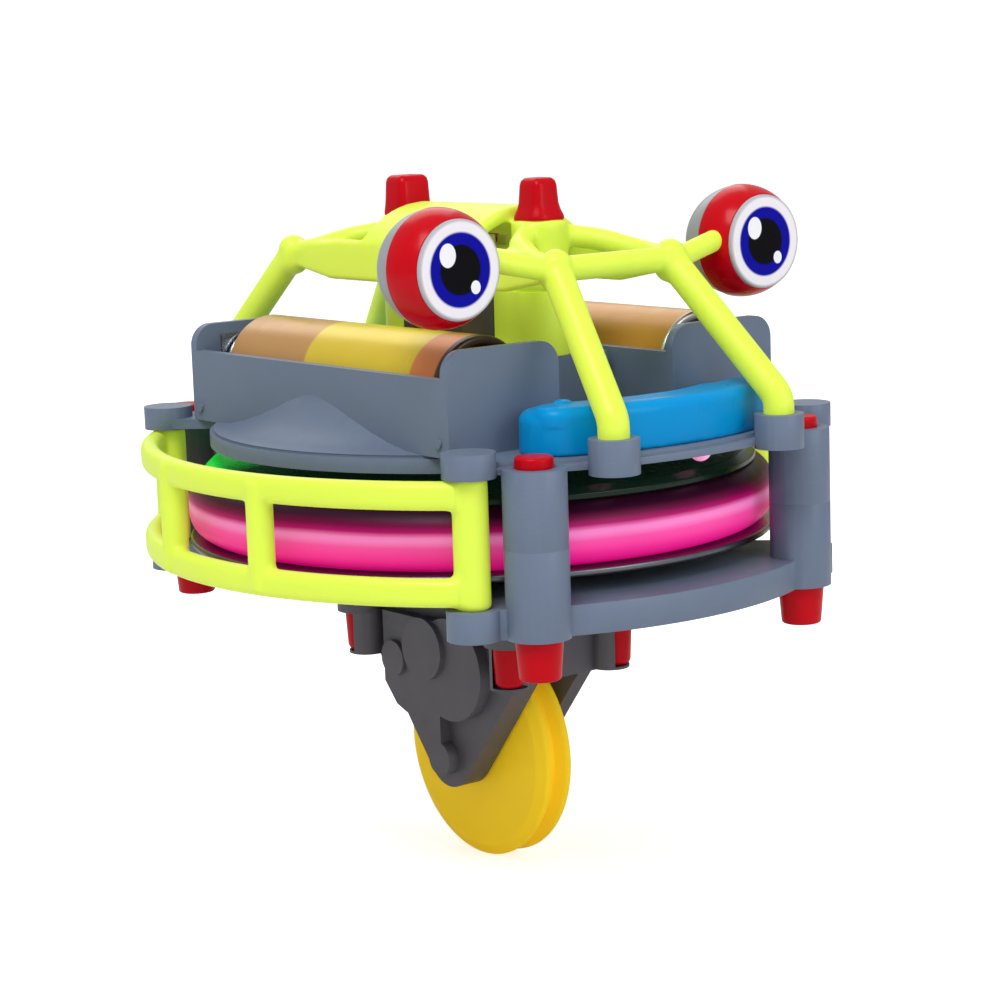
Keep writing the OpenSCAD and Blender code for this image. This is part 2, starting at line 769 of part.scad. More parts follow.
module idler_gear() {
    color(ivory) spur(idler_x, idler_z, pinion_teeth, outer_plane, idler_phase, shaft_r + run_gap);
}

module idler_axle() { color(steel) pin_y(idler_x, idler_z, shaft_r, -axle_end, -arm_in - 0.1); }

module gear_cluster() {
    // angle of the idler's tooth nearest the line of centres, passed on to the large gear
    slip = (idler_phase - to_cluster) * pinion_teeth / big_teeth;
    color(ivory) {
        spur(cluster_x, cluster_z, big_teeth, outer_plane,
            to_cluster + 180 + 180 / big_teeth - slip, shaft_r + run_gap);
        spur(cluster_x, cluster_z, small_teeth, inner_plane, to_final, shaft_r + run_gap);
        along_y(outer_plane[0], inner_plane[1]) translate([cluster_x, cluster_z]) difference() {
            circle(r = 2.4);
            circle(r = shaft_r + run_gap);
        }
    }
}

module cluster_axle() { color(steel) pin_y(cluster_x, cluster_z, shaft_r, -axle_end, -arm_in - 0.1); }

module final_gear() {
    color(ivory) spur(0, axle_z, final_teeth, inner_plane, to_final + 180 + 180 / final_teeth, shaft_r);
}

module wheel_axle() { color(steel) pin_y(0, axle_z, shaft_r, -6.3, left_wall - 0.3); }

module wheel() {
    w = wheel_half_w;
    g = groove_depth;
    color(yellow) translate([0, 0, axle_z]) rotate([90, 0, 0]) rotate_extrude($fn = 96) difference() {
        union() {
            translate([shaft_r, -w]) square([wheel_r - shaft_r - 1.1, 2 * w]);
            translate([shaft_r, -w + 1.1]) square([wheel_r - shaft_r, 2 * w - 2.2]);
            for (s = [-1, 1]) translate([wheel_r - 1.1, s * (w - 1.1)]) circle(r = 1.1, $fn = 32);
        }
        polygon([[wheel_r - g, -0.25], [wheel_r - g, 0.25], [wheel_r + 1, 1.1], [wheel_r + 1, -1.1]]);
        for (s = [-1, 1]) translate([3.8, s * w - 0.15]) square([7.2, 0.3]);
    }
}

// ---- Gear case ----
module arm_outline() {
    t = tip_tangent(case_x, case_bottom);
    polygon([[-case_x, ear_plate_z], [-case_x, case_bottom], [-t[0], t[1]], [0, axle_z], t,
        [case_x, case_bottom], [case_x, ear_plate_z]]);
    translate([0, axle_z]) circle(r = tip_r);
}

module peg_spots(z) { four(norm([peg_x, peg_y]), atan2(peg_y, peg_x), z) children(); }

module gear_case() {
    color(charcoal) difference() {
        union() {
            along_y(-inner_wall, -arm_in) arm_outline();
            along_y(arm_in, left_wall) arm_outline();
            for (x = [-case_x, case_x - 2]) translate([x, -inner_wall, case_bottom])
                cube([2, inner_wall + 9.0, ear_plate_z - case_bottom]);
            translate([-case_x, -9, ear_plate_z]) cube([2 * case_x, 18, case_top - ear_plate_z]);
            peg_spots(ear_bottom) cylinder(r = ear_r, h = case_top - ear_bottom);
            // half sockets beside the red pegs
            four(norm([peg_x - 0.7, peg_y - 0.5]), atan2(peg_y - 0.5, peg_x - 0.7), case_bottom + 0.2)
                cylinder(r = 2.7, h = ear_bottom - case_bottom);
            translate([-2, left_wall - eps, axle_z]) cube([4, 0.8, 14]);
        }
        // window for the worm and the worm wheel
        translate([-13.4, -2.6, ear_plate_z - 1]) cube([17, 5.2, 5]);
        peg_spots(30) cylinder(r = pin_r, h = 20);
        peg_spots(peg_bottom) cylinder(r = peg_top_r + 0.1, h = ear_bottom - peg_bottom);
        pin_y(0, axle_z, shaft_r + run_gap, -10, 10);
        pin_y(first_x, first_z, shaft_r + run_gap, -10, 10);
        for (p = [[idler_x, idler_z], [cluster_x, cluster_z]]) pin_y(p[0], p[1], shaft_r, -10, 0);
        // the gear cover fits against this corner of the ears
        translate([-case_x - 6, -cover_face - 0.1, case_bottom - 1])
            cube([2 * case_x + 12, cover_face - inner_wall + 0.1, ear_plate_z - case_bottom + 1]);
    }
}

// Raised fields of the gear cover, drawn in the XZ plane
module raised_field() {
    translate([2.9, 28.5]) circle(r = 7.3);
    polygon([[-12.3, 35], [-12.3, 24.6], [-9.6, 21.6], [-5.6, 20.1], [0, 20.6], [3, 24], [3, 35]]);
    translate([-2.2, axle_z]) square([2.8, 8]);
    translate([0, axle_z - 0.4]) circle(r = 2.4);
}

module raised_bosses() {
    translate([-2.4, 30.8]) circle(r = 4.5);
    translate([-9.4, 28.4]) circle(r = 2.6);
}

module gear_cover() {
    gears = [[first_x, first_z, gear_r(pinion_teeth)], [idler_x, idler_z, gear_r(pinion_teeth)],
        [cluster_x, cluster_z, gear_r(big_teeth)]];
    room = 0.95;
    color(charcoal) difference() {
        union() {
            along_y(-cover_face, -inner_wall) arm_outline();
            along_y(-bulge_face, -cover_face + eps) raised_field();
            along_y(-boss_face, -bulge_face + eps) raised_bosses();
        }
        for (g = gears) pin_y(g[0], g[1], g[2] + room, outer_plane[0] - 0.2, -inner_wall + 1);
        pin_y(cluster_x, cluster_z, gear_r(small_teeth) + room, inner_plane[0] - 0.2, -inner_wall + 1);
        pin_y(0, axle_z, gear_r(final_teeth) + 0.75, inner_plane[0] - 0.2, -inner_wall + 1);
        pin_y(0, axle_z, shaft_r + run_gap, -6.4, 0);
        pin_y(first_x, first_z, shaft_r + run_gap, -7.2, 0);
        for (p = [[idler_x, idler_z], [cluster_x, cluster_z]]) pin_y(p[0], p[1], shaft_r, -axle_end, 0);
        for (p = screw_spots) pin_y(p[0], p[1], 0.8, -cover_face + 0.5, 0);
        for (p = screw_spots) pin_y(p[0], p[1], 1.5, -cover_face - 1, -cover_face + 0.5);
    }
}

screw_spots = [[13.4, 34.5], [-13.9, 36.4]];

module cover_screws() {
    color(steel) for (p = screw_spots) {
        pin_y(p[0], p[1], 1.5, -cover_face, -cover_face + 0.5);
        pin_y(p[0], p[1], 0.8, -cover_face + 0.5, -inner_wall);
    }
}

module gearbox_pegs() {
    color(red) peg_spots(0) {
        translate([0, 0, peg_bottom]) cylinder(r1 = 1.9, r2 = peg_top_r, h = ear_bottom - peg_bottom);
        translate([0, 0, 33]) cylinder(r = pin_r, h = 11);
    }
}

lower_frame();
upper_frame();
post_pins();
right_guard();
left_guard();
cage();
cage_caps();
tower_front();
tower_rear();
right_eye_front();
right_eye_back();
right_eye_disc();
left_eye_front();
left_eye_back();
left_eye_disc();
front_cover();
rear_cover();
circuit_boards();
leds();
switch_body();
switch_slider();
right_cell();
left_cell();
contact_springs();
contact_plates();
motor_can();
motor_end_cap();
motor_leads();
upper_bush();
lower_bush();
drive_shaft();
flywheel_hub();
flywheel_flange();
flywheel_weight();
flywheel_rim();
flywheel_cover();
worm();
worm_wheel();
first_shaft();
first_pinion();
idler_gear();
idler_axle();
gear_cluster();
cluster_axle();
final_gear();
wheel_axle();
wheel();
gear_case();
gear_cover();
gearbox_pegs();
cover_screws();
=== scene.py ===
"""Light-up gyroscope top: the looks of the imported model, piece by piece."""

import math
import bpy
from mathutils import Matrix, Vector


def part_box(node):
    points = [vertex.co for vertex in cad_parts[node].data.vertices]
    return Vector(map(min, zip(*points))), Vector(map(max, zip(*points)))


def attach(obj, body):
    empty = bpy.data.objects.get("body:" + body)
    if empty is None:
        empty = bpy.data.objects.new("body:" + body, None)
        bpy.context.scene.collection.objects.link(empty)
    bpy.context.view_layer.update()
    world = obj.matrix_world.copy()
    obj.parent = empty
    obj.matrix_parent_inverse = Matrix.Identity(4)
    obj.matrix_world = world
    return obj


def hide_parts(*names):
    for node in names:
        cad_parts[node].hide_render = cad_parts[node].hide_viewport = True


bl_info = {
    "name": "Gyroscope top",
    "version": (1, 0, 0),
    "blender": (4, 5, 0),
    "location": "View3D > Sidebar > Gyroscope top",
    "description": "Builds the lit gyroscope top around its packed frame",
    "category": "Object",
}

import bpy
import numpy as np
from bpy.props import FloatProperty, FloatVectorProperty, IntProperty, PointerProperty
from mathutils import Matrix, Vector

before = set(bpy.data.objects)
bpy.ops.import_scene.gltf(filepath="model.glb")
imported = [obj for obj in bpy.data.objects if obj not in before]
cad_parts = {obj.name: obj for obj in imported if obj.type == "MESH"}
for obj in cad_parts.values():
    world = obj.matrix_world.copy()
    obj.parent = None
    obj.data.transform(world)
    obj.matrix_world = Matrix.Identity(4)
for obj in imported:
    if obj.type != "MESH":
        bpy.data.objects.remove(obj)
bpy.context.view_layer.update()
MM = 0.001
TURN = 2 * math.pi
PAINTED_LIGHT_WAY = math.radians(-130)    # direction from the axis towards which light is painted on the flywheel's lid and rim, at rest
CREASE = math.radians(35)       # edges sharper than this stay sharp in a piece's shading

# Places that the pieces share, in metres, from the frame
WHEEL_LOW, WHEEL_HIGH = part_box("wheel")
WHEEL_R = (WHEEL_HIGH.z - WHEEL_LOW.z) / 2
WHEEL_HALF_W = (WHEEL_HIGH.y - WHEEL_LOW.y) / 2
RIM_LOW, RIM_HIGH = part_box("flywheel_rim")
FLANGE_LOW, FLANGE_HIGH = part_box("flywheel_flange")
COVER_LOW, COVER_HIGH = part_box("front_cover")
CELL_LOW, CELL_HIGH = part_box("right_cell")
PIN_LOW, PIN_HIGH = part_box("post_pins")
PEG_LOW, PEG_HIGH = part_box("gearbox_pegs")
CAP_LOW, CAP_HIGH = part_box("cage_caps")
EYE_LOW, EYE_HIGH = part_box("left_eye_back")
LEAD_LOW, LEAD_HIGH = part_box("motor_leads")
SPRING_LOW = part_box("contact_springs")[0]


def length(name, description, millimetres):
    """A size property, given in millimetres and held in metres."""
    return FloatProperty(name=name, description=description, default=millimetres * MM, min=0.0,
                         unit="LENGTH", precision=5)


def angle(name, description, degrees):
    """An angle property, given in degrees and held in radians."""
    return FloatProperty(name=name, description=description, default=math.radians(degrees),
                         subtype="ANGLE")


def linear(*levels):
    """Scene-linear colour of three display levels from 0 to 255."""
    shares = np.array(levels, float) / 255
    return tuple(np.where(shares <= 0.04045, shares / 12.92, ((shares + 0.055) / 1.055) ** 2.4))


def tint(name, description, *levels):
    """A colour property, given as three display levels."""
    return FloatVectorProperty(name=name, description=description, default=linear(*levels), size=3,
                               min=0.0, max=1.0, subtype="COLOR")


class TopSizes(bpy.types.PropertyGroup):
    """Sizes of the pieces that are made here."""

    leg_r: length("Cage leg", "Radius of the cage's slanting legs", 2.05)
    cross_r: length("Cage cross bar", "Radius of the cage's front and rear bars", 1.7)
    rib_r: length("Cage rib", "Radius of the arched ribs from the bosses to the corners", 1.55)
    stalk_r: length("Eye stalk", "Radius of the bar that carries an eye", 1.5)
    corner: FloatVectorProperty(name="Cage corner", description="Place of the cage's front left corner",
                                default=(29.9 * MM, 9.84 * MM, 85.6 * MM), unit="LENGTH")
    foot_ring: length("Leg foot ring", "Distance of the legs' feet from the spin axis", 47.7)
    foot_angle: angle("Leg foot angle", "Direction of the front left foot from the front", 17.3)
    foot_z: length("Leg foot height", "Height at which a leg leaves its lug", 65.8)
    boss_r: length("Cap boss", "Radius of the two bosses under the caps", 3.8)
    boss_x: length("Boss distance", "Distance of a cap boss from the spin axis", 14.8)
    boss_top: length("Boss top", "Height at which a cap stands on its boss", 91.0)
    post_ring: length("Post ring", "Distance of the posts from the spin axis", 46.4)
    post_angle: angle("Post angle", "Direction of the front left post from the front", 29.5)
    peg_x: length("Peg place along", "Distance of a gearbox peg ahead of or behind the spin axis", 17.2)
    peg_y: length("Peg place across", "Distance of a gearbox peg beside the spin axis", 9.5)
    lug_ring: length("Guard lug ring", "Distance of a guard's end posts from the spin axis", 45.8)
    lug_angle: angle("Guard lug angle", "Direction of a guard's end post from the guard's middle", 50.5)
    guard_low: length("Guard foot", "Height at which a guard's end posts begin", 45.1)
    guard_high: length("Guard top", "Height at which a guard's end posts end", 61.6)
    guard_r: length("Guard radius", "Radius of the curve that a guard's outer face follows", 53.1)
    guard_shift: length("Guard shift", "How far that curve's centre lies beyond the spin axis", 6.8)
    guard_bar_h: length("Guard bar height", "Height of a guard's bars", 3.7)
    guard_bar_t: length("Guard bar thickness", "Thickness of a guard's bars", 2.6)
    guard_middle: length("Guard middle bar", "Distance of a middle bar from the guard's centre", 10.5)
    eye_x: length("Eye place", "Distance of the eyes ahead of the spin axis", 26.5)
    eye_z: length("Eye height", "Height of the eyes' centres", 86.8)
    eye_r: length("Eye radius", "Radius of an eye ball", 7.7)
    disc_r: length("Eye disc radius", "Radius of the printed disc", 6.35)
    iris_r: length("Iris radius", "Radius of the blue ring", 4.7)
    pupil_r: length("Pupil radius", "Radius of the black spot", 3.15)
    groove_depth: length("Groove depth", "Depth of the groove round the wheel", 1.7)
    cover_top: length("Cover top", "Height of a blue cover's top", 69.4)
    cover_inner: length("Cover inside", "Radius of a blue cover's inner side", 33.0)
    cover_angle: angle("Cover angle", "Reach of a blue cover's end from its middle", 30)
    cover_edge: length("Cover edge", "Rounding of a blue cover's top edge", 1.5)
    wire_r: length("Spring wire", "Radius of the contact springs' wire", 0.35)
    lead_r: length("Lead radius", "Radius of a motor lead's sleeve", 0.65)
    voxel: length("Blend step", "Grid step that melts the bars into one moulding", 0.36)
    blend_passes: IntProperty(name="Blend passes", description="Smoothing passes over a melted moulding",
                              default=7, min=1, max=30)
    sky_light: FloatProperty(name="Sky light", description="Strength of the light from all round",
                             default=0.5, min=0.0)
    sky_seen: FloatProperty(name="Sky seen", description="Brightness of the backdrop to the camera",
                            default=1.2, min=0.0)
    floor_half: FloatProperty(name="Floor reach", description="Half the side of the floor", default=3.0,
                              min=0.1, unit="LENGTH")
    camera_place: FloatVectorProperty(name="Camera place", description="Where the camera stands",
                                      default=(0.2880, -0.2224, 0.1121), unit="LENGTH")
    camera_aim: FloatVectorProperty(name="Camera aim", description="The point that the camera looks at",
                                    default=(0.00014, 0.00339, 0.05055), unit="LENGTH")
    camera_roll: angle("Camera roll", "Turn of the camera about its own line of sight", -1.93)
    camera_lens: FloatProperty(name="Camera lens", description="Focal length on a 36 mm sensor",
                               default=93.86, unit="CAMERA")


class TopColours(bpy.types.PropertyGroup):
    """Colours of the plastics, metals and prints, and of the light and shade painted on the flywheel's rim
    and lid.
    """

    slate: tint("Slate", "Frames and battery boxes", 103, 116, 137)
    neon: tint("Neon", "Cage, guards and motor tower", 206, 228, 72)
    red: tint("Red", "Pins, pegs, caps and the eyes' front shells", 190, 0, 18)
    grey_shell: tint("Grey", "The eyes' back shells", 150, 152, 158)
    blue: tint("Blue", "Front and rear covers", 0, 142, 208)
    pink: tint("Pink", "Glowing rim of the flywheel", 236, 12, 138)
    # The next colour is a painted highlight round the rim, and the one after it is painted shade on the rim's
    # upper part.
    pink_painted_highlight: tint("Pink glow", "Brightest line round the rim", 232, 122, 186)
    pink_painted_shade: tint("Pink shade", "Unlit upper part of the rim", 44, 2, 30)
    # The next two colours are painted light and painted shade on the flywheel's upper face.
    green: tint("Green", "Lit part of the flywheel's upper face", 24, 215, 60)
    green_painted_shade: tint("Green shade", "Unlit part of the flywheel's upper face", 8, 30, 18)
    yellow: tint("Yellow", "Road wheel", 250, 208, 34)
    charcoal: tint("Charcoal", "Gear case and gear cover", 82, 79, 85)
    ivory: tint("Ivory", "Gears, worm and flywheel hub", 226, 220, 202)
    steel: tint("Steel", "Shafts, springs, flange and motor can", 176, 180, 188)
    brass: tint("Brass", "Bushes", 196, 152, 78)
    cell_tan: tint("Cell tan", "Rear part of the right cell", 196, 146, 84)
    cell_yellow: tint("Cell yellow", "Middle part of the right cell", 226, 198, 48)
    cell_orange: tint("Cell orange", "Front end of the right cell", 222, 130, 66)
    cell_gold: tint("Cell gold", "Left cell", 200, 142, 62)
    board: tint("Board", "Circuit boards", 22, 92, 52)
    iris: tint("Iris", "Blue ring of an eye", 14, 14, 146)
    paper: tint("Paper", "White of an eye's disc", 236, 232, 238)


# ---- Surfaces ----
def mm(*points):
    """Points given in millimetres as an array in metres."""
    return np.array(points, float) * MM


def unit(vectors):
    """Vectors along the last axis, scaled to length one."""
    return vectors / np.linalg.norm(vectors, axis=-1, keepdims=True)


def arc(radius, start, end, steps):
    """Points at one radius about the origin, at evenly spaced angles from start to end."""
    a = np.linspace(start, end, steps)
    return np.stack([radius * np.cos(a), radius * np.sin(a)], -1)


def rounded(points, radii, closed=True, steps=6):
    """A path whose corners are arcs: each corner gives way to the circle of its radius that touches both
    sides, swept evenly from one touching point to the other. An open path keeps its two ends."""
    points = np.asarray(points, float)
    inner = points if closed else points[1:-1]
    radii = np.broadcast_to(np.asarray(radii, float), len(inner))[:, None]
    to_last = unit((np.roll(points, 1, 0) if closed else points[:-2]) - inner)
    to_next = unit((np.roll(points, -1, 0) if closed else points[2:]) - inner)
    half = np.arccos(np.clip((to_last * to_next).sum(1), -1, 1))[:, None] / 2
    middle = inner + unit(to_last + to_next) * radii / np.sin(half)
    first, last = inner + to_last * radii / np.tan(half), inner + to_next * radii / np.tan(half)
    t = np.linspace(0, 1, steps)[None, :, None]
    sweep = (math.pi - 2 * half)[:, None]
    from_first, from_last = (first - middle)[:, None], (last - middle)[:, None]
    turned = (from_first * np.sin((1 - t) * sweep) + from_last * np.sin(t * sweep)) / np.sin(sweep)
    bends = (middle[:, None] + turned).reshape(-1, points.shape[1])
    return bends if closed else np.vstack([points[:1], bends, points[-1:]])


def shell(grid, wrap=False):
    """A closed surface through rings of points: row i of the grid is a closed ring, quads join it to the
    next row, and flat caps close the first and last rows, or wrap joins those two rows instead. The faces
    are turned outwards by the sign of the volume that they enclose."""
    rows, cols, _ = grid.shape
    points = grid.reshape(-1, 3)
    i = np.arange(rows if wrap else rows - 1)[:, None]
    j = np.arange(cols)[None, :]
    i_next, j_next = (i + 1) % rows, (j + 1) % cols
    quads = np.stack([i * cols + j, i * cols + j_next, i_next * cols + j_next, i_next * cols + j], -1)
    quads = quads.reshape(-1, 4)
    caps = [] if wrap else [np.arange(cols)[::-1], np.arange(cols) + (rows - 1) * cols]
    fans = [np.stack([np.full(cols - 2, c[0]), c[1:-1], c[2:]], -1) for c in caps]
    triangles = np.vstack([quads[:, :3], quads[:, [0, 2, 3]], *fans])
    corners = points[triangles] - points.mean(0)
    if np.einsum("ij,ij->i", corners[:, 0], np.cross(corners[:, 1], corners[:, 2])).sum() < 0:
        quads, caps = quads[:, ::-1], [c[::-1] for c in caps]
    return points, quads, caps


def mirrored(shells, *signs):
    """Copies of shells with each coordinate multiplied by its sign, and turned outwards again."""
    flip = -1 if np.prod(signs) < 0 else 1
    return [(points * np.array(signs, float), quads[:, ::flip], [c[::flip] for c in caps])
            for points, quads, caps in shells]


def moved(shells, x, y, z=0.0):
    """Copies of shells shifted by x, y and z."""
    return [(points + np.array((x, y, z)), quads, caps) for points, quads, caps in shells]


def lathe(profile, axis="Z", centre=(0, 0, 0), steps=96, wrap=False):
    """A turned solid: each (radius, height) pair of the profile is swept round the axis through centre, so
    ring k is radius_k * (cos a, sin a) at height_k. With wrap the profile itself is a closed loop."""
    a = np.linspace(0, TURN, steps, endpoint=False)[None, :]
    radius, height = np.asarray(profile, float).T[:, :, None]
    across, up, along = radius * np.cos(a), radius * np.sin(a), np.broadcast_to(height, (len(height), steps))
    axes = {"X": (along, across, up), "Y": (up, along, across), "Z": (across, up, along)}[axis]
    return shell(np.stack(axes, -1) + np.array(centre), wrap)


def rounded_side(low, high, under, over, steps=6):
    """(inset, height) pairs up the side of a plate: a quarter circle of radius under at the lower edge,
    and one of radius over at the upper edge."""
    a = np.linspace(0, math.pi / 2, steps)
    lower = np.stack([under * (1 - np.sin(a)), low + under * (1 - np.cos(a))], 1)
    upper = np.stack([over * (1 - np.cos(a)), high - over * (1 - np.sin(a))], 1)
    return np.vstack([lower, upper])


def stack(outline, profile):
    """A solid with one outline at every height: ring k is the outline moved inwards by profile[k, 0] along
    its own normals, at height profile[k, 1]. The outline runs anticlockwise."""
    ahead = np.roll(outline, -1, 0) - np.roll(outline, 1, 0)
    outwards = unit(np.stack([ahead[:, 1], -ahead[:, 0]], 1))
    flat = outline[None] - profile[:, 0, None, None] * outwards[None]
    height = np.broadcast_to(profile[:, 1, None, None], flat.shape[:2] + (1,))
    return shell(np.concatenate([flat, height], -1))


def button(radius, low, high, under, over, steps=48):
    """An upright round peg with rounded edges; radius is one number, or the lower and the upper one."""
    pairs = rounded_side(low, high, under, over)
    lower, upper = np.broadcast_to(radius, 2)
    share = (pairs[:, 1] - low) / (high - low)
    return lathe(np.stack([lower + (upper - lower) * share - pairs[:, 0], pairs[:, 1]], 1), steps=steps)


def tube(path, radius, up=(0, 0, 1), sides=24):
    """A round bar with half a ball at each end along a path: ring k is
    path_k + radius_k * (cos a * side_k + sin a * lift_k), where side_k is square to the path and to up, and
    lift_k is square to both."""
    path = np.asarray(path, float)
    swell = np.linspace(0, math.pi / 2, 7)[:-1]
    out, size = radius * np.cos(swell)[:, None], radius * np.maximum(np.sin(swell), 0.02)
    start, end = unit(path[0] - path[1]), unit(path[-1] - path[-2])
    radius = np.concatenate([size, np.full(len(path), radius), size[::-1]])[:, None, None]
    path = np.vstack([path[0] + out * start, path, path[-1] + out[::-1] * end])
    ahead = unit(np.gradient(path, axis=0))
    side = unit(np.cross(ahead, np.array(up, float)))
    lift = np.cross(side, ahead)
    a = np.linspace(0, TURN, sides, endpoint=False)[None, :, None]
    return shell(path[:, None] + radius * (np.cos(a) * side[:, None] + np.sin(a) * lift[:, None]))


def arc_bar(radius, width, low, high, reach, edge, centre_y, steps=72):
    """A bar bent round the upright line at (0, centre_y): its rounded rectangular section, from
    radius - width to radius and from low to high, is carried from reach before +Y to reach past it."""
    section = rounded([(radius - width, low), (radius, low), (radius, high), (radius - width, high)], edge)
    a = np.linspace(TURN / 4 - reach, TURN / 4 + reach, steps)[:, None]
    across, height = section.T[:, None, :]
    up = np.broadcast_to(height, (steps, len(section)))
    return shell(np.stack([across * np.cos(a), centre_y + across * np.sin(a), up], -1))


# ---- Pieces ----
def scene_data():
    """The size and colour properties of this scene."""
    return bpy.context.scene.top_sizes, bpy.context.scene.top_colours


def piece(name, shells, look, body, replaced):
    """An object of closed shells, at the origin, that rides on a body and stands for CAD nodes."""
    mesh = bpy.data.meshes.new(name)
    offsets = np.cumsum([0] + [len(points) for points, _, _ in shells])
    faces = [face for (_, quads, caps), start in zip(shells, offsets)
             for face in (quads + start).tolist() + [(cap + start).tolist() for cap in caps]]
    mesh.from_pydata(np.vstack([points for points, _, _ in shells]).tolist(), [], faces)
    mesh.shade_smooth()
    mesh.set_sharp_from_angle(angle=CREASE)
    mesh.materials.append(look)
    made = bpy.data.objects.new(name, mesh)
    bpy.context.scene.collection.objects.link(made)
    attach(made, body)
    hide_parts(*replaced)
    return made


def keep_modified(made):
    """Gives a piece the mesh that its modifiers make, and removes them."""
    skin = bpy.data.meshes.new_from_object(made.evaluated_get(bpy.context.evaluated_depsgraph_get()))
    made.modifiers.clear()
    made.data = skin


def melt(made, voxel, passes):
    """Turns overlapping shells into one skin on a fine grid and smooths it, which fillets each junction."""
    grid = made.modifiers.new("Melt", "REMESH")
    grid.mode = "VOXEL"
    grid.voxel_size = voxel
    grid.use_smooth_shade = True
    soften = made.modifiers.new("Soften", "SMOOTH")
    soften.factor = 0.5
    soften.iterations = passes
    keep_modified(made)


def carve(made, cutter):
    """Cuts a closed shell out of a piece with an exact boolean, and keeps the result."""
    tool = bpy.data.meshes.new("cutter")
    tool.from_pydata(cutter[0].tolist(), [], cutter[1].tolist() + [face.tolist() for face in cutter[2]])
    holder = bpy.data.objects.new("cutter", tool)
    bpy.context.scene.collection.objects.link(holder)
    cut = made.modifiers.new("Cut", "BOOLEAN")
    cut.operation = "DIFFERENCE"
    cut.solver = "EXACT"
    cut.object = holder
    keep_modified(made)
    bpy.data.objects.remove(holder)


def soften_edges(name, width):
    """Rounds the sharp edges of a CAD node: its loose triangles are joined, and its edges get a bevel."""
    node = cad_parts[name]
    weld = node.modifiers.new("Join", "WELD")
    weld.merge_threshold = 0.002 * MM
    bevel = node.modifiers.new("Round", "BEVEL")
    bevel.width = width
    bevel.segments = 2
    bevel.limit_method = "ANGLE"
    bevel.angle_limit = math.radians(38)
    bevel.use_clamp_overlap = True
    bevel.harden_normals = True
    bevel.miter_outer = "MITER_ARC"


def paint(names, look):
    """Gives CAD nodes a material in place of the plain one that they came with."""
    for name in names:
        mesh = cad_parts[name].data
        mesh.materials.clear()
        mesh.materials.append(look)


# ---- Shader parts ----
def feed(tree, node, inputs):
    """Fills a node's inputs: another node's socket is linked, and anything else is the input's value."""
    for key, value in inputs.items():
        if isinstance(value, bpy.types.NodeSocket):
            tree.links.new(value, node.inputs[key])
        else:
            node.inputs[key].default_value = value


def add(tree, kind, inputs=None, **settings):
    """Adds a shader node with its settings and inputs."""
    made = tree.nodes.new(kind)
    for key, value in settings.items():
        setattr(made, key, value)
    feed(tree, made, inputs or {})
    return made


def colour(value, share=1.0):
    """A share of a colour as the four numbers that a socket takes."""
    return (*(np.array(value) * share), 1.0)


def calc(tree, operation, *values, clamp=False):
    """One arithmetic step on numbers or sockets."""
    inputs = dict(enumerate(values))
    return add(tree, "ShaderNodeMath", inputs, operation=operation, use_clamp=clamp).outputs[0]


def plus(tree, first, second, clamp=False):
    """The sum of two numbers or sockets."""
    return calc(tree, "ADD", first, second, clamp=clamp)


def times(tree, first, second):
    """The product of two numbers or sockets."""
    return calc(tree, "MULTIPLY", first, second)


def blend(tree, factor, first, second, mode="MIX"):
    """Mixes two colours."""
    inputs = {"Factor": factor, 6: first, 7: second}
    return add(tree, "ShaderNodeMix", inputs, data_type="RGBA", blend_type=mode).outputs[2]


def ramp(tree, factor, stops):
    """A colour ramp with the given (place, colour) stops."""
    made = add(tree, "ShaderNodeValToRGB", {"Fac": factor})
    elements = made.color_ramp.elements
    while len(elements) < len(stops):
        elements.new(0.5)
    for element, (place, value) in zip(elements, stops):
        element.position = place
        element.color = value
    return made.outputs["Color"]


def span(tree, value, low, high):
    """How far a value lies from low to high, as a share that stays between 0 and 1."""
    return add(tree, "ShaderNodeMapRange", {"Value": value, "From Min": low, "From Max": high}).outputs[0]


def object_place(tree):
    """The Object coordinates."""
    return add(tree, "ShaderNodeTexCoord").outputs["Object"]


def axis_place(tree, axis):
    """One Object coordinate."""
    return add(tree, "ShaderNodeSeparateXYZ", {0: object_place(tree)}).outputs[axis]


def noise(tree, scale, detail=2.0, stretch=None):
    """Noise on Object coordinates; stretch makes it longer along an axis where it is small."""
    where = object_place(tree)
    if stretch:
        where = add(tree, "ShaderNodeMapping", {"Vector": where, "Scale": stretch}).outputs[0]
    return add(tree, "ShaderNodeTexNoise", {"Vector": where, "Scale": scale, "Detail": detail}).outputs["Fac"]


def drift(tree, start, swing, *about):
    """A number that drifts with noise from start to start + swing; about is what noise takes."""
    return calc(tree, "MULTIPLY_ADD", noise(tree, *about), swing, start)


def group(name, inputs, outputs):
    """An empty shader group with the given (name, socket kind, default) inputs and (name, kind) outputs:
    (its tree, the sockets that it is given, the node that takes its results)."""
    tree = bpy.data.node_groups.new(name, "ShaderNodeTree")
    for label, kind, default in inputs:
        socket = tree.interface.new_socket(label, in_out="INPUT", socket_type=kind)
        socket.default_value = default
    for label, kind in outputs:
        tree.interface.new_socket(label, in_out="OUTPUT", socket_type=kind)
    return tree, add(tree, "NodeGroupInput").outputs, add(tree, "NodeGroupOutput")


SKIN_OUTPUTS = [("Colour", "NodeSocketColor"), ("Roughness", "NodeSocketFloat"),
                ("Height", "NodeSocketFloat")]


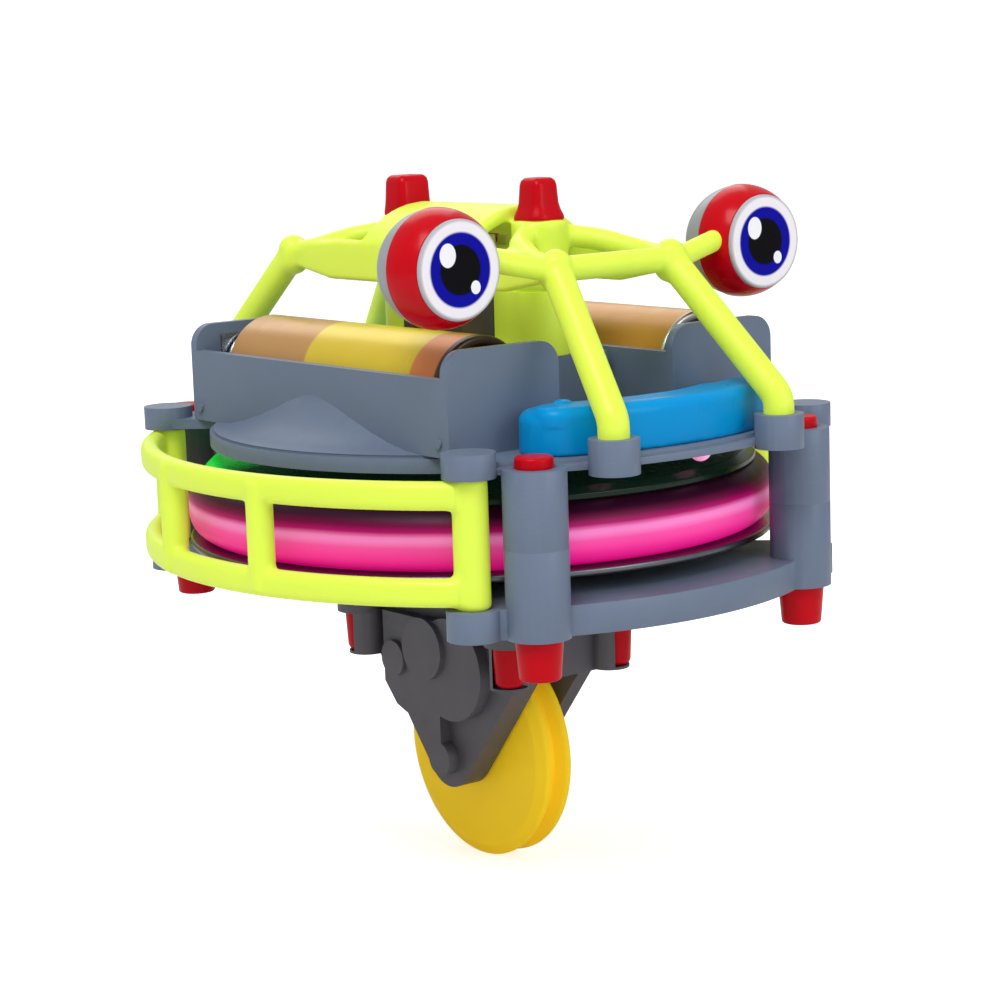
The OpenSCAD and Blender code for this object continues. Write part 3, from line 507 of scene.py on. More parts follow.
def moulded_group(name):
    """Shader group for moulded plastic: cloudy colour, fine moulding grain, hairline scuffs and settled dust
    on faces that look up."""
    tree, given, result = group(
        name, [("Colour", "NodeSocketColor", (0.5, 0.5, 0.5, 1)), ("Cloud", "NodeSocketFloat", 0.1),
               ("Roughness", "NodeSocketFloat", 0.4), ("Scuff", "NodeSocketFloat", 0.2),
               ("Dust", "NodeSocketFloat", 0.1)], SKIN_OUTPUTS)
    shade = plus(tree, 1.0, times(tree, drift(tree, -1.0, 2.0, 70, 3), given["Cloud"]))
    tone = add(tree, "ShaderNodeHueSaturation", {"Color": given["Colour"], "Value": shade}).outputs[0]
    hairs = calc(tree, "ABSOLUTE", drift(tree, -0.5, 1.0, 160, 5, (1, 0.25, 9)))
    lines = times(tree, span(tree, hairs, 0.012, 0.0), span(tree, noise(tree, 55), 0.52, 0.7))
    scuff = times(tree, lines, given["Scuff"])
    normal = add(tree, "ShaderNodeNewGeometry").outputs["Normal"]
    facing = add(tree, "ShaderNodeSeparateXYZ", {0: normal}).outputs["Z"]
    resting = times(tree, span(tree, facing, 0.55, 1.0), span(tree, noise(tree, 900, 4), 0.4, 0.75))
    dust = times(tree, resting, given["Dust"])
    pale = blend(tree, times(tree, scuff, 0.5), tone, (0.82, 0.82, 0.84, 1))
    dusty = blend(tree, times(tree, dust, 0.5), pale, (0.62, 0.6, 0.57, 1))
    worn = plus(tree, times(tree, scuff, 0.3), times(tree, dust, 0.35))
    uneven = plus(tree, given["Roughness"], drift(tree, -0.08, 0.16, 240, 4))
    waves = calc(tree, "SUBTRACT", times(tree, noise(tree, 190), 6.0), scuff)
    feed(tree, result, {"Colour": dusty, "Roughness": plus(tree, uneven, worn, clamp=True),
                        "Height": plus(tree, noise(tree, 2600), waves)})
    return tree


def metal_group(name):
    """Shader group for turned or drawn metal: streaks along one way, and patches of tarnish."""
    tree, given, result = group(
        name, [("Colour", "NodeSocketColor", (0.5, 0.5, 0.5, 1)),
               ("Tarnish", "NodeSocketColor", (0.16, 0.13, 0.1, 1)),
               ("Age", "NodeSocketFloat", 0.2), ("Roughness", "NodeSocketFloat", 0.3)], SKIN_OUTPUTS)
    streaks = noise(tree, 400, 3, (1, 1, 14))
    patches = times(tree, span(tree, noise(tree, 260, 5), 0.45, 0.8), given["Age"])
    rough = plus(tree, given["Roughness"], calc(tree, "MULTIPLY_ADD", streaks, 0.25, -0.125))
    feed(tree, result, {"Colour": blend(tree, patches, given["Colour"], given["Tarnish"]),
                        "Roughness": plus(tree, rough, times(tree, patches, 0.3), clamp=True),
                        "Height": streaks})
    return tree


def material(name):
    """An empty node material: (material, its tree, its Principled shader)."""
    made = bpy.data.materials.new(name)
    made.use_nodes = True
    tree = made.node_tree
    return made, tree, tree.nodes["Principled BSDF"]


def relief(tree, shader, height, distance):
    """Feeds a height through a Bump node to a shader's normal."""
    bump = add(tree, "ShaderNodeBump", {"Height": height, "Distance": distance, "Strength": 0.5})
    feed(tree, shader, {"Normal": bump.outputs[0]})


def skinned(name, maker, inputs, grain):
    """A material whose colour, roughness and relief come from the shader group that a maker builds once."""
    made, tree, shader = material(name)
    label = "Moulded plastic" if maker is moulded_group else "Worked metal"
    node_tree = bpy.data.node_groups.get(label) or maker(label)
    values = {key: value(tree) if callable(value) else value for key, value in inputs.items()}
    skin = add(tree, "ShaderNodeGroup")
    skin.node_tree = node_tree
    feed(tree, skin, values)
    feed(tree, shader, {"Base Color": skin.outputs["Colour"], "Roughness": skin.outputs["Roughness"]})
    relief(tree, shader, skin.outputs["Height"], grain)
    return made, tree, shader, skin


def plastic(name, base, roughness=0.4, cloud=0.05, scuff=0.2, dust=0.1, glow=0.0, soft=0.0, specular=0.5):
    """A moulded plastic. base is a colour, or a function that makes a colour socket in the material's tree.
    The glow strength is that of a painted glow in the plastic's own colour, given out whatever light falls on
    it, and soft is how far light sinks in."""
    inputs = {"Colour": base if callable(base) else colour(base), "Cloud": cloud, "Roughness": roughness,
              "Scuff": scuff, "Dust": dust}
    made, tree, shader, skin = skinned(name, moulded_group, inputs, 0.01 * MM)
    feed(tree, shader, {"Specular IOR Level": specular})
    if soft:
        feed(tree, shader, {"Subsurface Weight": soft, "Subsurface Radius": (1.0, 1.0, 0.4),
                            "Subsurface Scale": 1.5 * MM})
    if glow:
        feed(tree, shader, {"Emission Color": skin.outputs["Colour"], "Emission Strength": glow})
    return made


def metal(name, base, roughness=0.3, age=0.2):
    """A worked metal in one colour."""
    inputs = {"Colour": colour(base), "Age": age, "Roughness": roughness}
    made, tree, shader, _ = skinned(name, metal_group, inputs, 0.004 * MM)
    feed(tree, shader, {"Metallic": 1.0})
    return made


def neon_plastic(c):
    """The cage's, guards' and tower's fluorescent plastic, with a painted glow that stands for its
    fluorescence and lifts its shade.
    """
    return bpy.data.materials.get("neon_abs") or plastic(
        "neon_abs", c.neon, cloud=0.03, scuff=0.06, dust=0.02, glow=0.19, soft=0.2, specular=0.35)


def painted_light_share(tree, low, high):
    """How near a point lies to the lamp's direction from the axis: the cosine of the angle between them,
    brought from low..high to 0..1. It masks the light painted on the flywheel's lid and rim."""
    flat = add(tree, "ShaderNodeVectorMath", {0: object_place(tree), 1: (1, 1, 0)}, operation="MULTIPLY")
    way = add(tree, "ShaderNodeVectorMath", {0: flat.outputs[0]}, operation="NORMALIZE")
    lamp = (math.cos(PAINTED_LIGHT_WAY), math.sin(PAINTED_LIGHT_WAY), 0)
    near = add(tree, "ShaderNodeVectorMath", {0: way.outputs[0], 1: lamp}, operation="DOT_PRODUCT")
    return span(tree, plus(tree, near.outputs["Value"], drift(tree, 0.0, 0.02, 50)), low, high)


def rim_material(c):
    """Translucent rim with painted light: painted shade above, a painted highlight line at its widest, full
    pink below with painted shade at the lower edge, painted redder light towards the lamp, and a painted
    glow.
    """
    made, tree, shader = material("pink_plastic_painted_light")
    height = span(tree, axis_place(tree, "Z"), RIM_LOW.z, RIM_HIGH.z)
    pink, glow, dark = (np.array(tone) for tone in (c.pink, c.pink_painted_highlight, c.pink_painted_shade))
    # The ramp paints light by height: painted shade at the lower edge, full pink, a painted highlight line at
    # the widest, and painted shade above.
    lit = ramp(tree, plus(tree, height, drift(tree, -0.025, 0.05, 60)), [
        (0.0, colour(pink * 0.3)), (0.06, colour(pink)), (0.22, colour(pink * 0.9 + glow * 0.1)),
        (0.42, colour(pink * 0.6 + glow * 0.35)), (0.52, colour(glow)), (0.57, colour(glow)),
        (0.66, colour(pink * 0.45)), (0.75, colour(pink * 0.16)), (0.86, colour(dark)),
        (1.0, colour(dark * 0.3))])
    # Painted lamp light: the rim turns redder towards the lamp's direction.
    painted_lamp_red = blend(tree, 1.0, lit, (0.75, 0.9, 0.35, 1), mode="MULTIPLY")
    tone = blend(tree, times(tree, painted_light_share(tree, 0.8, 0.99), 0.55), lit, painted_lamp_red)
    # The emission is a painted glow in the rim's painted colours.
    feed(tree, shader, {"Base Color": tone, "Emission Color": tone, "Emission Strength": 0.42,
                        "Specular IOR Level": 0.15, "Roughness": drift(tree, 0.34, 0.16, 300, 4)})
    relief(tree, shader, noise(tree, 160), 0.012 * MM)
    return made


def lid_tone_painted_light(c):
    """Maker of the lid's colour: dark green as painted shade, and bright green as painted light where a lamp
    shines through it.
    """
    return lambda tree: blend(tree, painted_light_share(tree, 0.9, 0.985), colour(c.green_painted_shade), colour(c.green))


def eye_material(s, c, side):
    """Printed eye: iris and pupil on a white disc with a thin grey edge, and two white painted highlights
    that stand for reflections of the light. Each is an oval: a distance from its own centre across the disc,
    in shares of its half width and half height."""
    made, tree, shader = material("eye_print_left" if side > 0 else "eye_print_right")
    centre = Vector((0, side * (EYE_LOW.y + EYE_HIGH.y) / 2, EYE_LOW.z + s.eye_r))
    off = add(tree, "ShaderNodeVectorMath", {0: object_place(tree), 1: centre}, operation="SUBTRACT")
    parts = add(tree, "ShaderNodeSeparateXYZ", {0: off.outputs[0]}).outputs
    iris = blend(tree, drift(tree, 0.0, 0.5, 500, 3), colour(c.iris), colour(c.iris, 1.4))
    edge, fade = s.disc_r - 0.35 * MM, 0.03
    painted_highlight = (0.86, 0.86, 0.9, 1)
    tone = (0.42, 0.42, 0.46, 1)
    for y, z, half_y, half_z, print_tone in (
            (0, 0, edge, edge, colour(c.paper)), (0, 0, s.iris_r, s.iris_r, iris),
            (0, 0, s.pupil_r, s.pupil_r, (0.004, 0.004, 0.006, 1)),
            # The last two ovals are painted highlights.
            (-1.9 * MM, 1.9 * MM, 1.25 * MM, 1.5 * MM, painted_highlight),
            (2.3 * MM, -2.3 * MM, 0.75 * MM, 0.85 * MM, painted_highlight)):
        across = calc(tree, "DIVIDE", calc(tree, "SUBTRACT", parts["Y"], y), half_y)
        up = calc(tree, "DIVIDE", calc(tree, "SUBTRACT", parts["Z"], z), half_z)
        reach = calc(tree, "SQRT", plus(tree, times(tree, across, across), times(tree, up, up)))
        tone = blend(tree, span(tree, reach, 1 + fade, 1 - fade), tone, print_tone)
    feed(tree, shader, {"Base Color": tone, "Specular IOR Level": 0.05,
                        "Roughness": drift(tree, 0.2, 0.1, 700, 3)})
    relief(tree, shader, noise(tree, 900), 0.004 * MM)
    return made


def cell_material(name, stops, sleeve_end):
    """Printed shrink sleeve of a cell: bands of colour along it, faded in patches, and bare metal ends."""
    made, tree, shader = material(name)
    share = span(tree, axis_place(tree, "X"), CELL_LOW.x, CELL_HIGH.x)
    front_end = span(tree, share, sleeve_end, sleeve_end + 0.004)
    ends = plus(tree, span(tree, share, 0.012, 0.008), front_end, clamp=True)
    print_tone = blend(tree, drift(tree, 0.0, 0.18, 120, 4), ramp(tree, share, stops), (0.28, 0.14, 0.03, 1))
    feed(tree, shader, {"Base Color": blend(tree, ends, print_tone, (0.55, 0.53, 0.5, 1)),
                        "Metallic": plus(tree, times(tree, ends, 0.7), 0.28, clamp=True),
                        "Roughness": drift(tree, 0.22, 0.2, 350, 4)})
    relief(tree, shader, noise(tree, 220, 3), 0.05 * MM)
    return made


def board_material(c):
    """Circuit board: solder mask with faint tracks and tinned pads."""
    made, tree, shader = material("board_mask")
    where = object_place(tree)
    spots = add(tree, "ShaderNodeTexVoronoi", {"Vector": where, "Scale": 420.0}, distance="CHEBYCHEV")
    waves = add(tree, "ShaderNodeTexWave", {"Vector": where, "Scale": 260.0, "Distortion": 4.0})
    tracks, pads = waves.outputs["Fac"], span(tree, spots.outputs["Distance"], 0.16, 0.12)
    tone = blend(tree, span(tree, tracks, 0.55, 0.6), colour(c.board), colour(c.board, 1.8))
    feed(tree, shader, {"Base Color": blend(tree, pads, tone, (0.6, 0.6, 0.58, 1)), "Metallic": pads,
                        "Roughness": drift(tree, 0.3, 0.15, 600, 3)})
    relief(tree, shader, tracks, 0.03 * MM)
    return made


def lamp_material():
    """Lamp lens: milky pink resin that gives light."""
    made, tree, shader = material("lamp_resin")
    tone = ramp(tree, noise(tree, 800), [(0.3, (1.0, 0.32, 0.6, 1)), (0.7, (1.0, 0.55, 0.75, 1))])
    feed(tree, shader, {"Base Color": tone, "Emission Color": tone, "Emission Strength": 0.5,
                        "Roughness": drift(tree, 0.1, 0.1, 900, 3)})
    return made


# ---- Operators ----
class TOP_OT_stage(bpy.types.Operator):
    """Floor, backdrop light, lamps and camera"""

    bl_idname = "gyro_top.stage"
    bl_label = "Stage and camera"

    def execute(self, context):
        s, _ = scene_data()
        scene = context.scene
        scene.view_settings.view_transform = "Standard"
        world = bpy.data.worlds.new("Studio")
        world.use_nodes = True
        tree = world.node_tree
        seen = add(tree, "ShaderNodeLightPath").outputs["Is Camera Ray"]
        strength = calc(tree, "MULTIPLY_ADD", seen, s.sky_seen - s.sky_light, s.sky_light)
        feed(tree, tree.nodes["Background"], {"Color": (1, 1, 1, 1), "Strength": strength})
        scene.world = world
        made, tree, shader = material("studio_floor")
        seen = add(tree, "ShaderNodeLightPath").outputs["Is Camera Ray"]
        shade = ramp(tree, noise(tree, 6), [(0.3, (0.80, 0.80, 0.80, 1)), (0.7, (0.82, 0.82, 0.82, 1))])
        feed(tree, shader, {"Base Color": shade, "Roughness": 0.9, "Specular IOR Level": 0.1,
                            "Emission Color": (1, 1, 1, 1), "Emission Strength": times(tree, seen, 0.62)})
        half = s.floor_half
        mesh = bpy.data.meshes.new("floor")
        mesh.from_pydata([(-half, -half, 0), (half, -half, 0), (half, half, 0), (-half, half, 0)], [],
                         [(0, 1, 2, 3)])
        mesh.materials.append(made)
        floor = bpy.data.objects.new("floor", mesh)
        scene.collection.objects.link(floor)
        for name, spot, size, power in (("key", (0.25, -0.45, 0.8), 0.45, 5.2),
                                        ("side", (0.75, 0.2, 0.35), 0.4, 1.6),
                                        ("back", (-0.6, 0.3, 0.6), 0.6, 1.6)):
            lamp = bpy.data.lights.new(name, "AREA")
            lamp.size = size
            lamp.energy = power
            holder = bpy.data.objects.new(name, lamp)
            holder.location = spot
            towards = Vector((0, 0, 0.05)) - Vector(spot)
            holder.rotation_euler = towards.to_track_quat("-Z", "Y").to_euler()
            scene.collection.objects.link(holder)
        view = bpy.data.cameras.new("camera")
        view.lens = s.camera_lens
        view.clip_start = 0.01
        camera = bpy.data.objects.new("camera", view)
        place = Matrix.Translation(s.camera_place)
        aim = (Vector(s.camera_aim) - Vector(s.camera_place)).to_track_quat("-Z", "Y").to_matrix().to_4x4()
        camera.matrix_world = place @ aim @ Matrix.Rotation(s.camera_roll, 4, "Z")
        scene.collection.objects.link(camera)
        scene.camera = camera
        return {"FINISHED"}


class TOP_OT_frames(bpy.types.Operator):
    """Slate frames with their posts, lugs and battery boxes"""

    bl_idname = "gyro_top.frames"
    bl_label = "Frames"

    def execute(self, context):
        _, c = scene_data()
        names = ("lower_frame", "upper_frame")
        paint(names, plastic("slate_abs", c.slate, roughness=0.42, scuff=0.08, dust=0.06, specular=0.3))
        for name in names:
            soften_edges(name, 0.3 * MM)
        return {"FINISHED"}


class TOP_OT_drive(bpy.types.Operator):
    """Motor, tower, shaft, worm, gears, boards and the other works that keep their CAD shape"""

    bl_idname = "gyro_top.drive"
    bl_label = "Motor and gears"

    def execute(self, context):
        _, c = scene_data()
        tower, case = ("tower_front", "tower_rear"), ("gear_case", "gear_cover")
        paint(tower, neon_plastic(c))
        paint(case, plastic("charcoal_abs", c.charcoal, roughness=0.5, cloud=0.08, scuff=0.1, dust=0.08))
        paint(("flywheel_hub", "worm", "worm_wheel", "first_pinion", "idler_gear", "gear_cluster",
               "final_gear", "motor_end_cap"),
              plastic("ivory_acetal", c.ivory, roughness=0.36, cloud=0.04, scuff=0.15, soft=0.15))
        paint(("switch_slider",), plastic("black_abs", linear(22, 22, 24), roughness=0.45))
        paint(("drive_shaft", "first_shaft", "idler_axle", "cluster_axle", "wheel_axle", "cover_screws",
               "contact_plates", "switch_body", "flywheel_weight"),
              metal("bright_steel", c.steel, roughness=0.24))
        paint(("motor_can",), metal("dull_steel", linear(96, 92, 90), roughness=0.42, age=0.4))
        paint(("upper_bush", "lower_bush"), metal("turned_brass", c.brass, age=0.3))
        paint(("circuit_boards",), board_material(c))
        paint(("leds",), lamp_material())
        for name in (*tower, *case, "motor_can", "switch_slider"):
            soften_edges(name, 0.25 * MM)
        return {"FINISHED"}


class TOP_OT_cage(bpy.types.Operator):
    """Cage over the motor: legs, cross bars, side plates, ribs, roof, bosses and the eyes' stalks"""

    bl_idname = "gyro_top.cage"
    bl_label = "Cage"

    def execute(self, context):
        s, c = scene_data()
        corner = np.array(s.corner)
        foot = np.array((math.cos(s.foot_angle), math.sin(s.foot_angle), 0)) * s.foot_ring + (0, 0, s.foot_z)
        leg = rounded([foot - mm(0, 0, 2.5), foot + mm(0, 0, 2.2), corner], 3 * MM, closed=False)
        rib = rounded([mm(14.8, 2.2, 89.0), mm(19.2, 7.0, 88.0), mm(24.6, 9.3, 86.5), corner], 4 * MM,
                      closed=False)
        stalk = rounded([corner, mm(29.6, 13.0, 86.0), mm(28.4, 19.6, 87.4)], 5 * MM, closed=False)
        outline = rounded(mm((-29.9, 84.1), (-20, 82.3), (20, 82.3), (29.9, 84.1), (29.9, 87.1), (17, 88.0),
                             (-17, 88.0), (-29.9, 87.1)), 1.2 * MM)
        points, quads, caps = stack(outline, rounded_side(8.85 * MM, 10.85 * MM, 0.5 * MM, 0.5 * MM))
        plate = (points[:, [0, 2, 1]], quads[:, ::-1], [cap[::-1] for cap in caps])
        roof_r, roof_t, roof_half, roof_centre = mm(14.0, 1.8, 11.8, 78.9)
        start, end = math.radians(40), math.radians(140)
        arch = np.vstack([arc(roof_r, start, end, 40), arc(roof_r - roof_t, end, start, 40)])
        roof_x = np.linspace(-roof_half, roof_half, 24)[:, None]
        across, up = (np.broadcast_to(level, (24, 80)) for level in (arch[:, 0], arch[:, 1] + roof_centre))
        roof = shell(np.stack([np.broadcast_to(roof_x, (24, 80)), across, up], -1))
        boss = moved([button(s.boss_r, 81.6 * MM, s.boss_top, 0.3 * MM, 0.6 * MM)], s.boss_x, 0)
        knuckle = tube([corner - mm(0, 0, 1.0), corner + mm(0, 0, 0.5)], 2.2 * MM, up=(1, 0, 0))
        quarter = [tube(leg, s.leg_r, up=(0, 1, 0)), tube(rib, s.rib_r), knuckle]
        shells = [roof, *boss, *mirrored(boss, -1, 1, 1)]
        for side in (1, -1):
            shells += mirrored([plate, tube(stalk, s.stalk_r, up=(1, 0, 0))], 1, side, 1)
            for end in (1, -1):
                shells += mirrored(quarter, end, side, 1)
        for end in (1, -1):
            shells += mirrored([tube([corner * (1, -1, 1), corner], s.cross_r)], end, 1, 1)
        cage = piece("cage_moulding", shells, neon_plastic(c), "chassis", ("cage",))
        melt(cage, s.voxel, s.blend_passes)
        return {"FINISHED"}


class TOP_OT_guards(bpy.types.Operator):
    """Two side guards, each of two bent bars, two middle bars and two end posts"""

    bl_idname = "gyro_top.guards"
    bl_label = "Side guards"

    def execute(self, context):
        s, c = scene_data()
        low, high = s.guard_low, s.guard_high
        ring = s.guard_r - s.guard_bar_t / 2
        end_x, end_y = s.lug_ring * math.sin(s.lug_angle), s.lug_ring * math.cos(s.lug_angle)
        reach = math.asin(end_x / ring)
        shells = [arc_bar(s.guard_r, s.guard_bar_t, z, z + s.guard_bar_h, reach, 1.0 * MM, -s.guard_shift)
                  for z in (low + 0.45 * MM, high - 0.15 * MM - s.guard_bar_h)]
        post = button(2.3 * MM, low, high, 0.4 * MM, 0.4 * MM)
        peg = button(1.2 * MM, low - 2 * MM, high + 2 * MM, 0.2 * MM, 0.2 * MM, steps=24)
        middle = button(1.8 * MM, low + 1 * MM, high - 1 * MM, 0.2 * MM, 0.2 * MM, steps=32)
        turn = math.asin(s.guard_middle / ring)
        for sign in (-1, 1):
            shells += moved([post, peg], sign * end_x, end_y)
            shells += moved([middle], sign * ring * math.sin(turn), ring * math.cos(turn) - s.guard_shift)
        for side, name in ((1, "left_guard"), (-1, "right_guard")):
            guard = piece(name + "_moulding", mirrored(shells, 1, side, 1), neon_plastic(c), "chassis",
                          (name,))
            melt(guard, s.voxel, s.blend_passes)
        return {"FINISHED"}


class TOP_OT_eyes(bpy.types.Operator):
    """Two eyes, each a back shell, a front shell and a printed disc"""

    bl_idname = "gyro_top.eyes"
    bl_label = "Eyes"

    def execute(self, context):
        s, c = scene_data()
        red = plastic("eye_red_abs", c.red, roughness=0.22, cloud=0.03, scuff=0.05, dust=0.01, specular=0.16)
        grey = plastic("eye_grey_abs", c.grey_shell, roughness=0.36, cloud=0.04)
        seam, face, wall, groove = -0.5 * MM, 4.2 * MM, 1.3 * MM, 0.12 * MM
        back_r, inner_r = s.eye_r - 0.1 * MM, s.eye_r - wall
        pole = 0.99995    # how far round a ball its profile runs, so that the last ring has a size

        def cap(radius, start, end, steps):
            """(radius, height) pairs along a ball from one height to another."""
            return arc(radius, math.asin(start / radius), math.asin(end / radius), steps)

        face_r = math.sqrt(s.eye_r ** 2 - face ** 2)
        front = np.vstack([[(inner_r, seam + groove)], [(s.eye_r - 0.25 * MM, seam + groove)],
                           cap(s.eye_r, seam + groove, face - 0.05 * MM, 28), [(face_r - 0.35 * MM, face)],
                           [(0.02 * MM, face)], [(0.02 * MM, face - wall)], [(face_r - wall, face - wall)]])
        back = np.vstack([[(s.eye_r - 0.35 * MM, seam)], cap(back_r, seam - groove, -back_r * pole, 32),
                          cap(inner_r, -inner_r * pole, seam - groove, 24)])
        side_pairs = rounded_side(face - 0.02 * MM, face + 0.5 * MM, 0.02 * MM, 0.3 * MM)
        flat = np.linspace(s.disc_r - 0.6 * MM, 0.05 * MM, 14)
        disc = np.vstack([np.stack([s.disc_r - side_pairs[:, 0], side_pairs[:, 1]], 1),
                          np.stack([flat, np.full(14, face + 0.5 * MM)], 1)])
        for side, word in ((1, "left"), (-1, "right")):
            at = (s.eye_x, side * (EYE_LOW.y + EYE_HIGH.y) / 2, s.eye_z)
            for label, profile, wrap, look, slot, node in (
                    ("_eye_front_shell", front, True, red, "red_plastic", "_eye_front"),
                    ("_eye_back_shell", back, True, grey, "grey_shell", "_eye_back"),
                    ("_eye_print", disc, False, eye_material(s, c, side), "eye_print", "_eye_disc")):
                turned = lathe(profile, "X", at, 112, wrap)
                piece(word + label, [turned], look, "chassis", (word + node,))
        return {"FINISHED"}


class TOP_OT_covers(bpy.types.Operator):
    """Front and rear blue covers"""

    bl_idname = "gyro_top.covers"
    bl_label = "Blue covers"

    def execute(self, context):
        s, c = scene_data()
        blue = plastic("blue_abs", c.blue, roughness=0.3, cloud=0.04, scuff=0.06, dust=0.01,
                       specular=0.12)
        outer, inner = COVER_HIGH.x, s.cover_inner
        reach = s.cover_angle - math.asin((outer - inner) / (outer + inner))
        wall = 1.2 * MM

        def kidney(out_r, in_r, half_angle):
            """Arc-shaped outline with half-round ends, anticlockwise."""
            mid_r, round_r = (out_r + in_r) / 2, (out_r - in_r) / 2
            end = arc(round_r, 0, math.pi, 18)[1:-1]
            sine, cosine = math.sin(half_angle), math.cos(half_angle)
            turn = np.array([[cosine, sine], [-sine, cosine]])
            last, first = (end + (mid_r, 0)) @ turn, (-end + (mid_r, 0)) @ turn.T
            return np.vstack([arc(out_r, -half_angle, half_angle, 60), last,
                              arc(in_r, half_angle, -half_angle, 60), first])

        low, top = COVER_LOW.z, s.cover_top
        shoulder = top - 0.7 * MM
        body = rounded_side(low, shoulder, 0.05 * MM, s.cover_edge, 8)[1:]
        hollow = [(wall + 0.2 * MM, shoulder - wall), (wall, shoulder - wall - 0.2 * MM), (wall, low)]
        crown = rounded_side(top - 2.6 * MM, top, 0.2 * MM, s.cover_edge, 8)
        shells = [stack(kidney(outer, inner, reach), np.vstack([hollow, [(0.15 * MM, low)], body])),
                  stack(kidney(outer, 36.6 * MM, reach + 0.02), crown)]
        knob_ring, knob_angle = 39.3 * MM, math.radians(-22)
        knob = moved([button(1.1 * MM, top - 1 * MM, COVER_HIGH.z, 0.1 * MM, 0.35 * MM, steps=32)],
                     knob_ring * math.cos(knob_angle), knob_ring * math.sin(knob_angle))
        front = piece("front_cover_shell", shells + knob, blue, "chassis", ("front_cover",))
        rear = piece("rear_cover_shell", mirrored(shells, -1, 1, 1), blue, "chassis",
                     ("rear_cover",))
        for cover in (front, rear):
            melt(cover, 0.28 * MM, 4)
        knob_low, knob_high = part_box("switch_slider")
        gap, travel = 0.4 * MM, 2.5 * MM
        x_low, x_high = knob_low.x - gap, knob_high.x + gap
        y_low, y_high = knob_low.y - gap, knob_high.y + gap + travel
        outline = [(x_low, y_low), (x_high, y_low), (x_high, y_high), (x_low, y_high)]
        carve(rear, stack(rounded(outline, 0.3 * MM), np.array([(0, top - 4 * MM), (0, top + 2 * MM)])))
        return {"FINISHED"}


class TOP_OT_flywheel(bpy.types.Operator):
    """Flywheel: rim with painted glow, highlight and shade, green upper face with painted light and shade,
    and a steel flange darkened as painted shade
    """

    bl_idname = "gyro_top.flywheel"
    bl_label = "Flywheel"

    def execute(self, context):
        _, c = scene_data()
        low, high, radius = RIM_LOW.z, RIM_HIGH.z, RIM_HIGH.x
        inside, bulge = 36.0 * MM, 3.4 * MM
        section = rounded([(inside, low), (radius, low), (radius, high), (inside, high)],
                          [0.3 * MM, bulge, bulge, 0.3 * MM], steps=16)
        piece("flywheel_rim_ring", [lathe(section, steps=180, wrap=True)], rim_material(c), "flywheel",
              ("flywheel_rim",))
        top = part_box("flywheel_cover")[1].z
        bore, lid_r, flat_r, lid_t = 4 * MM, 38.6 * MM, 12 * MM, 1.2 * MM
        lid = rounded([(inside, high), (lid_r, high), (lid_r, high + 0.8 * MM),
                       (lid_r - 1 * MM, high + 1.7 * MM), (flat_r, top), (bore, top), (bore, top - lid_t),
                       (flat_r, top - lid_t), (inside, high + 0.7 * MM)],
                      np.array([0.1, 0.2, 0.35, 0.6, 3, 0.2, 0.2, 3, 0.2]) * MM)
        # The lid's green carries painted light and shade, and its emission is a painted glow.
        green = plastic("green_translucent_painted_light", lid_tone_painted_light(c), roughness=0.26, scuff=0.05, dust=0.02, glow=0.3,
                        specular=0.25)
        piece("flywheel_lid", [lathe(lid, steps=160, wrap=True)], green, "flywheel",
              ("flywheel_cover",))
        low, high = FLANGE_LOW.z, FLANGE_HIGH.z
        flange = rounded([(bore, low), (radius, low), (radius, high), (bore, high)],
                         [0.1 * MM, 0.35 * MM, 0.35 * MM, 0.1 * MM])
        # The flange's steel is darkened to a third as painted shade under the rim.
        piece("flywheel_flange_plate", [lathe(flange, steps=160, wrap=True)],
              metal("spun_steel_painted_shade", np.array(c.steel) * 0.35), "flywheel", ("flywheel_flange",))
        return {"FINISHED"}


class TOP_OT_wheel(bpy.types.Operator):
    """Road wheel with rounded rims and a centre groove"""

    bl_idname = "gyro_top.wheel"
    bl_label = "Road wheel"

    def execute(self, context):
        s, c = scene_data()
        r, w = WHEEL_R, WHEEL_HALF_W
        inset = 0.12 * MM
        half = [(1.02 * MM, -w), (3.4 * MM, -w), (3.8 * MM, -w + inset), (11.0 * MM, -w + inset),
                (r - 1.6 * MM, -w), (r, -w + 0.85 * MM), (r - 0.05 * MM, -1.35 * MM),
                (r - s.groove_depth, -0.45 * MM)]
        radii = [0.1, 0.15, 0.3, 4.0, 0.9, 0.5, 0.6, 0.4]
        outline = half + [(x, -y) for x, y in half[::-1]]
        section = rounded(outline, np.array(radii + radii[::-1]) * MM, steps=8)
        # The wheel's yellow has a painted glow of its own colour.
        yellow = plastic("wheel_yellow", c.yellow, roughness=0.45, scuff=0.1, dust=0.0, glow=0.16,
                         specular=0.12)
        piece("road_wheel_tyre", [lathe(section, "Y", (0, 0, r), 144, wrap=True)], yellow, "road_wheel",
              ("wheel",))
        return {"FINISHED"}


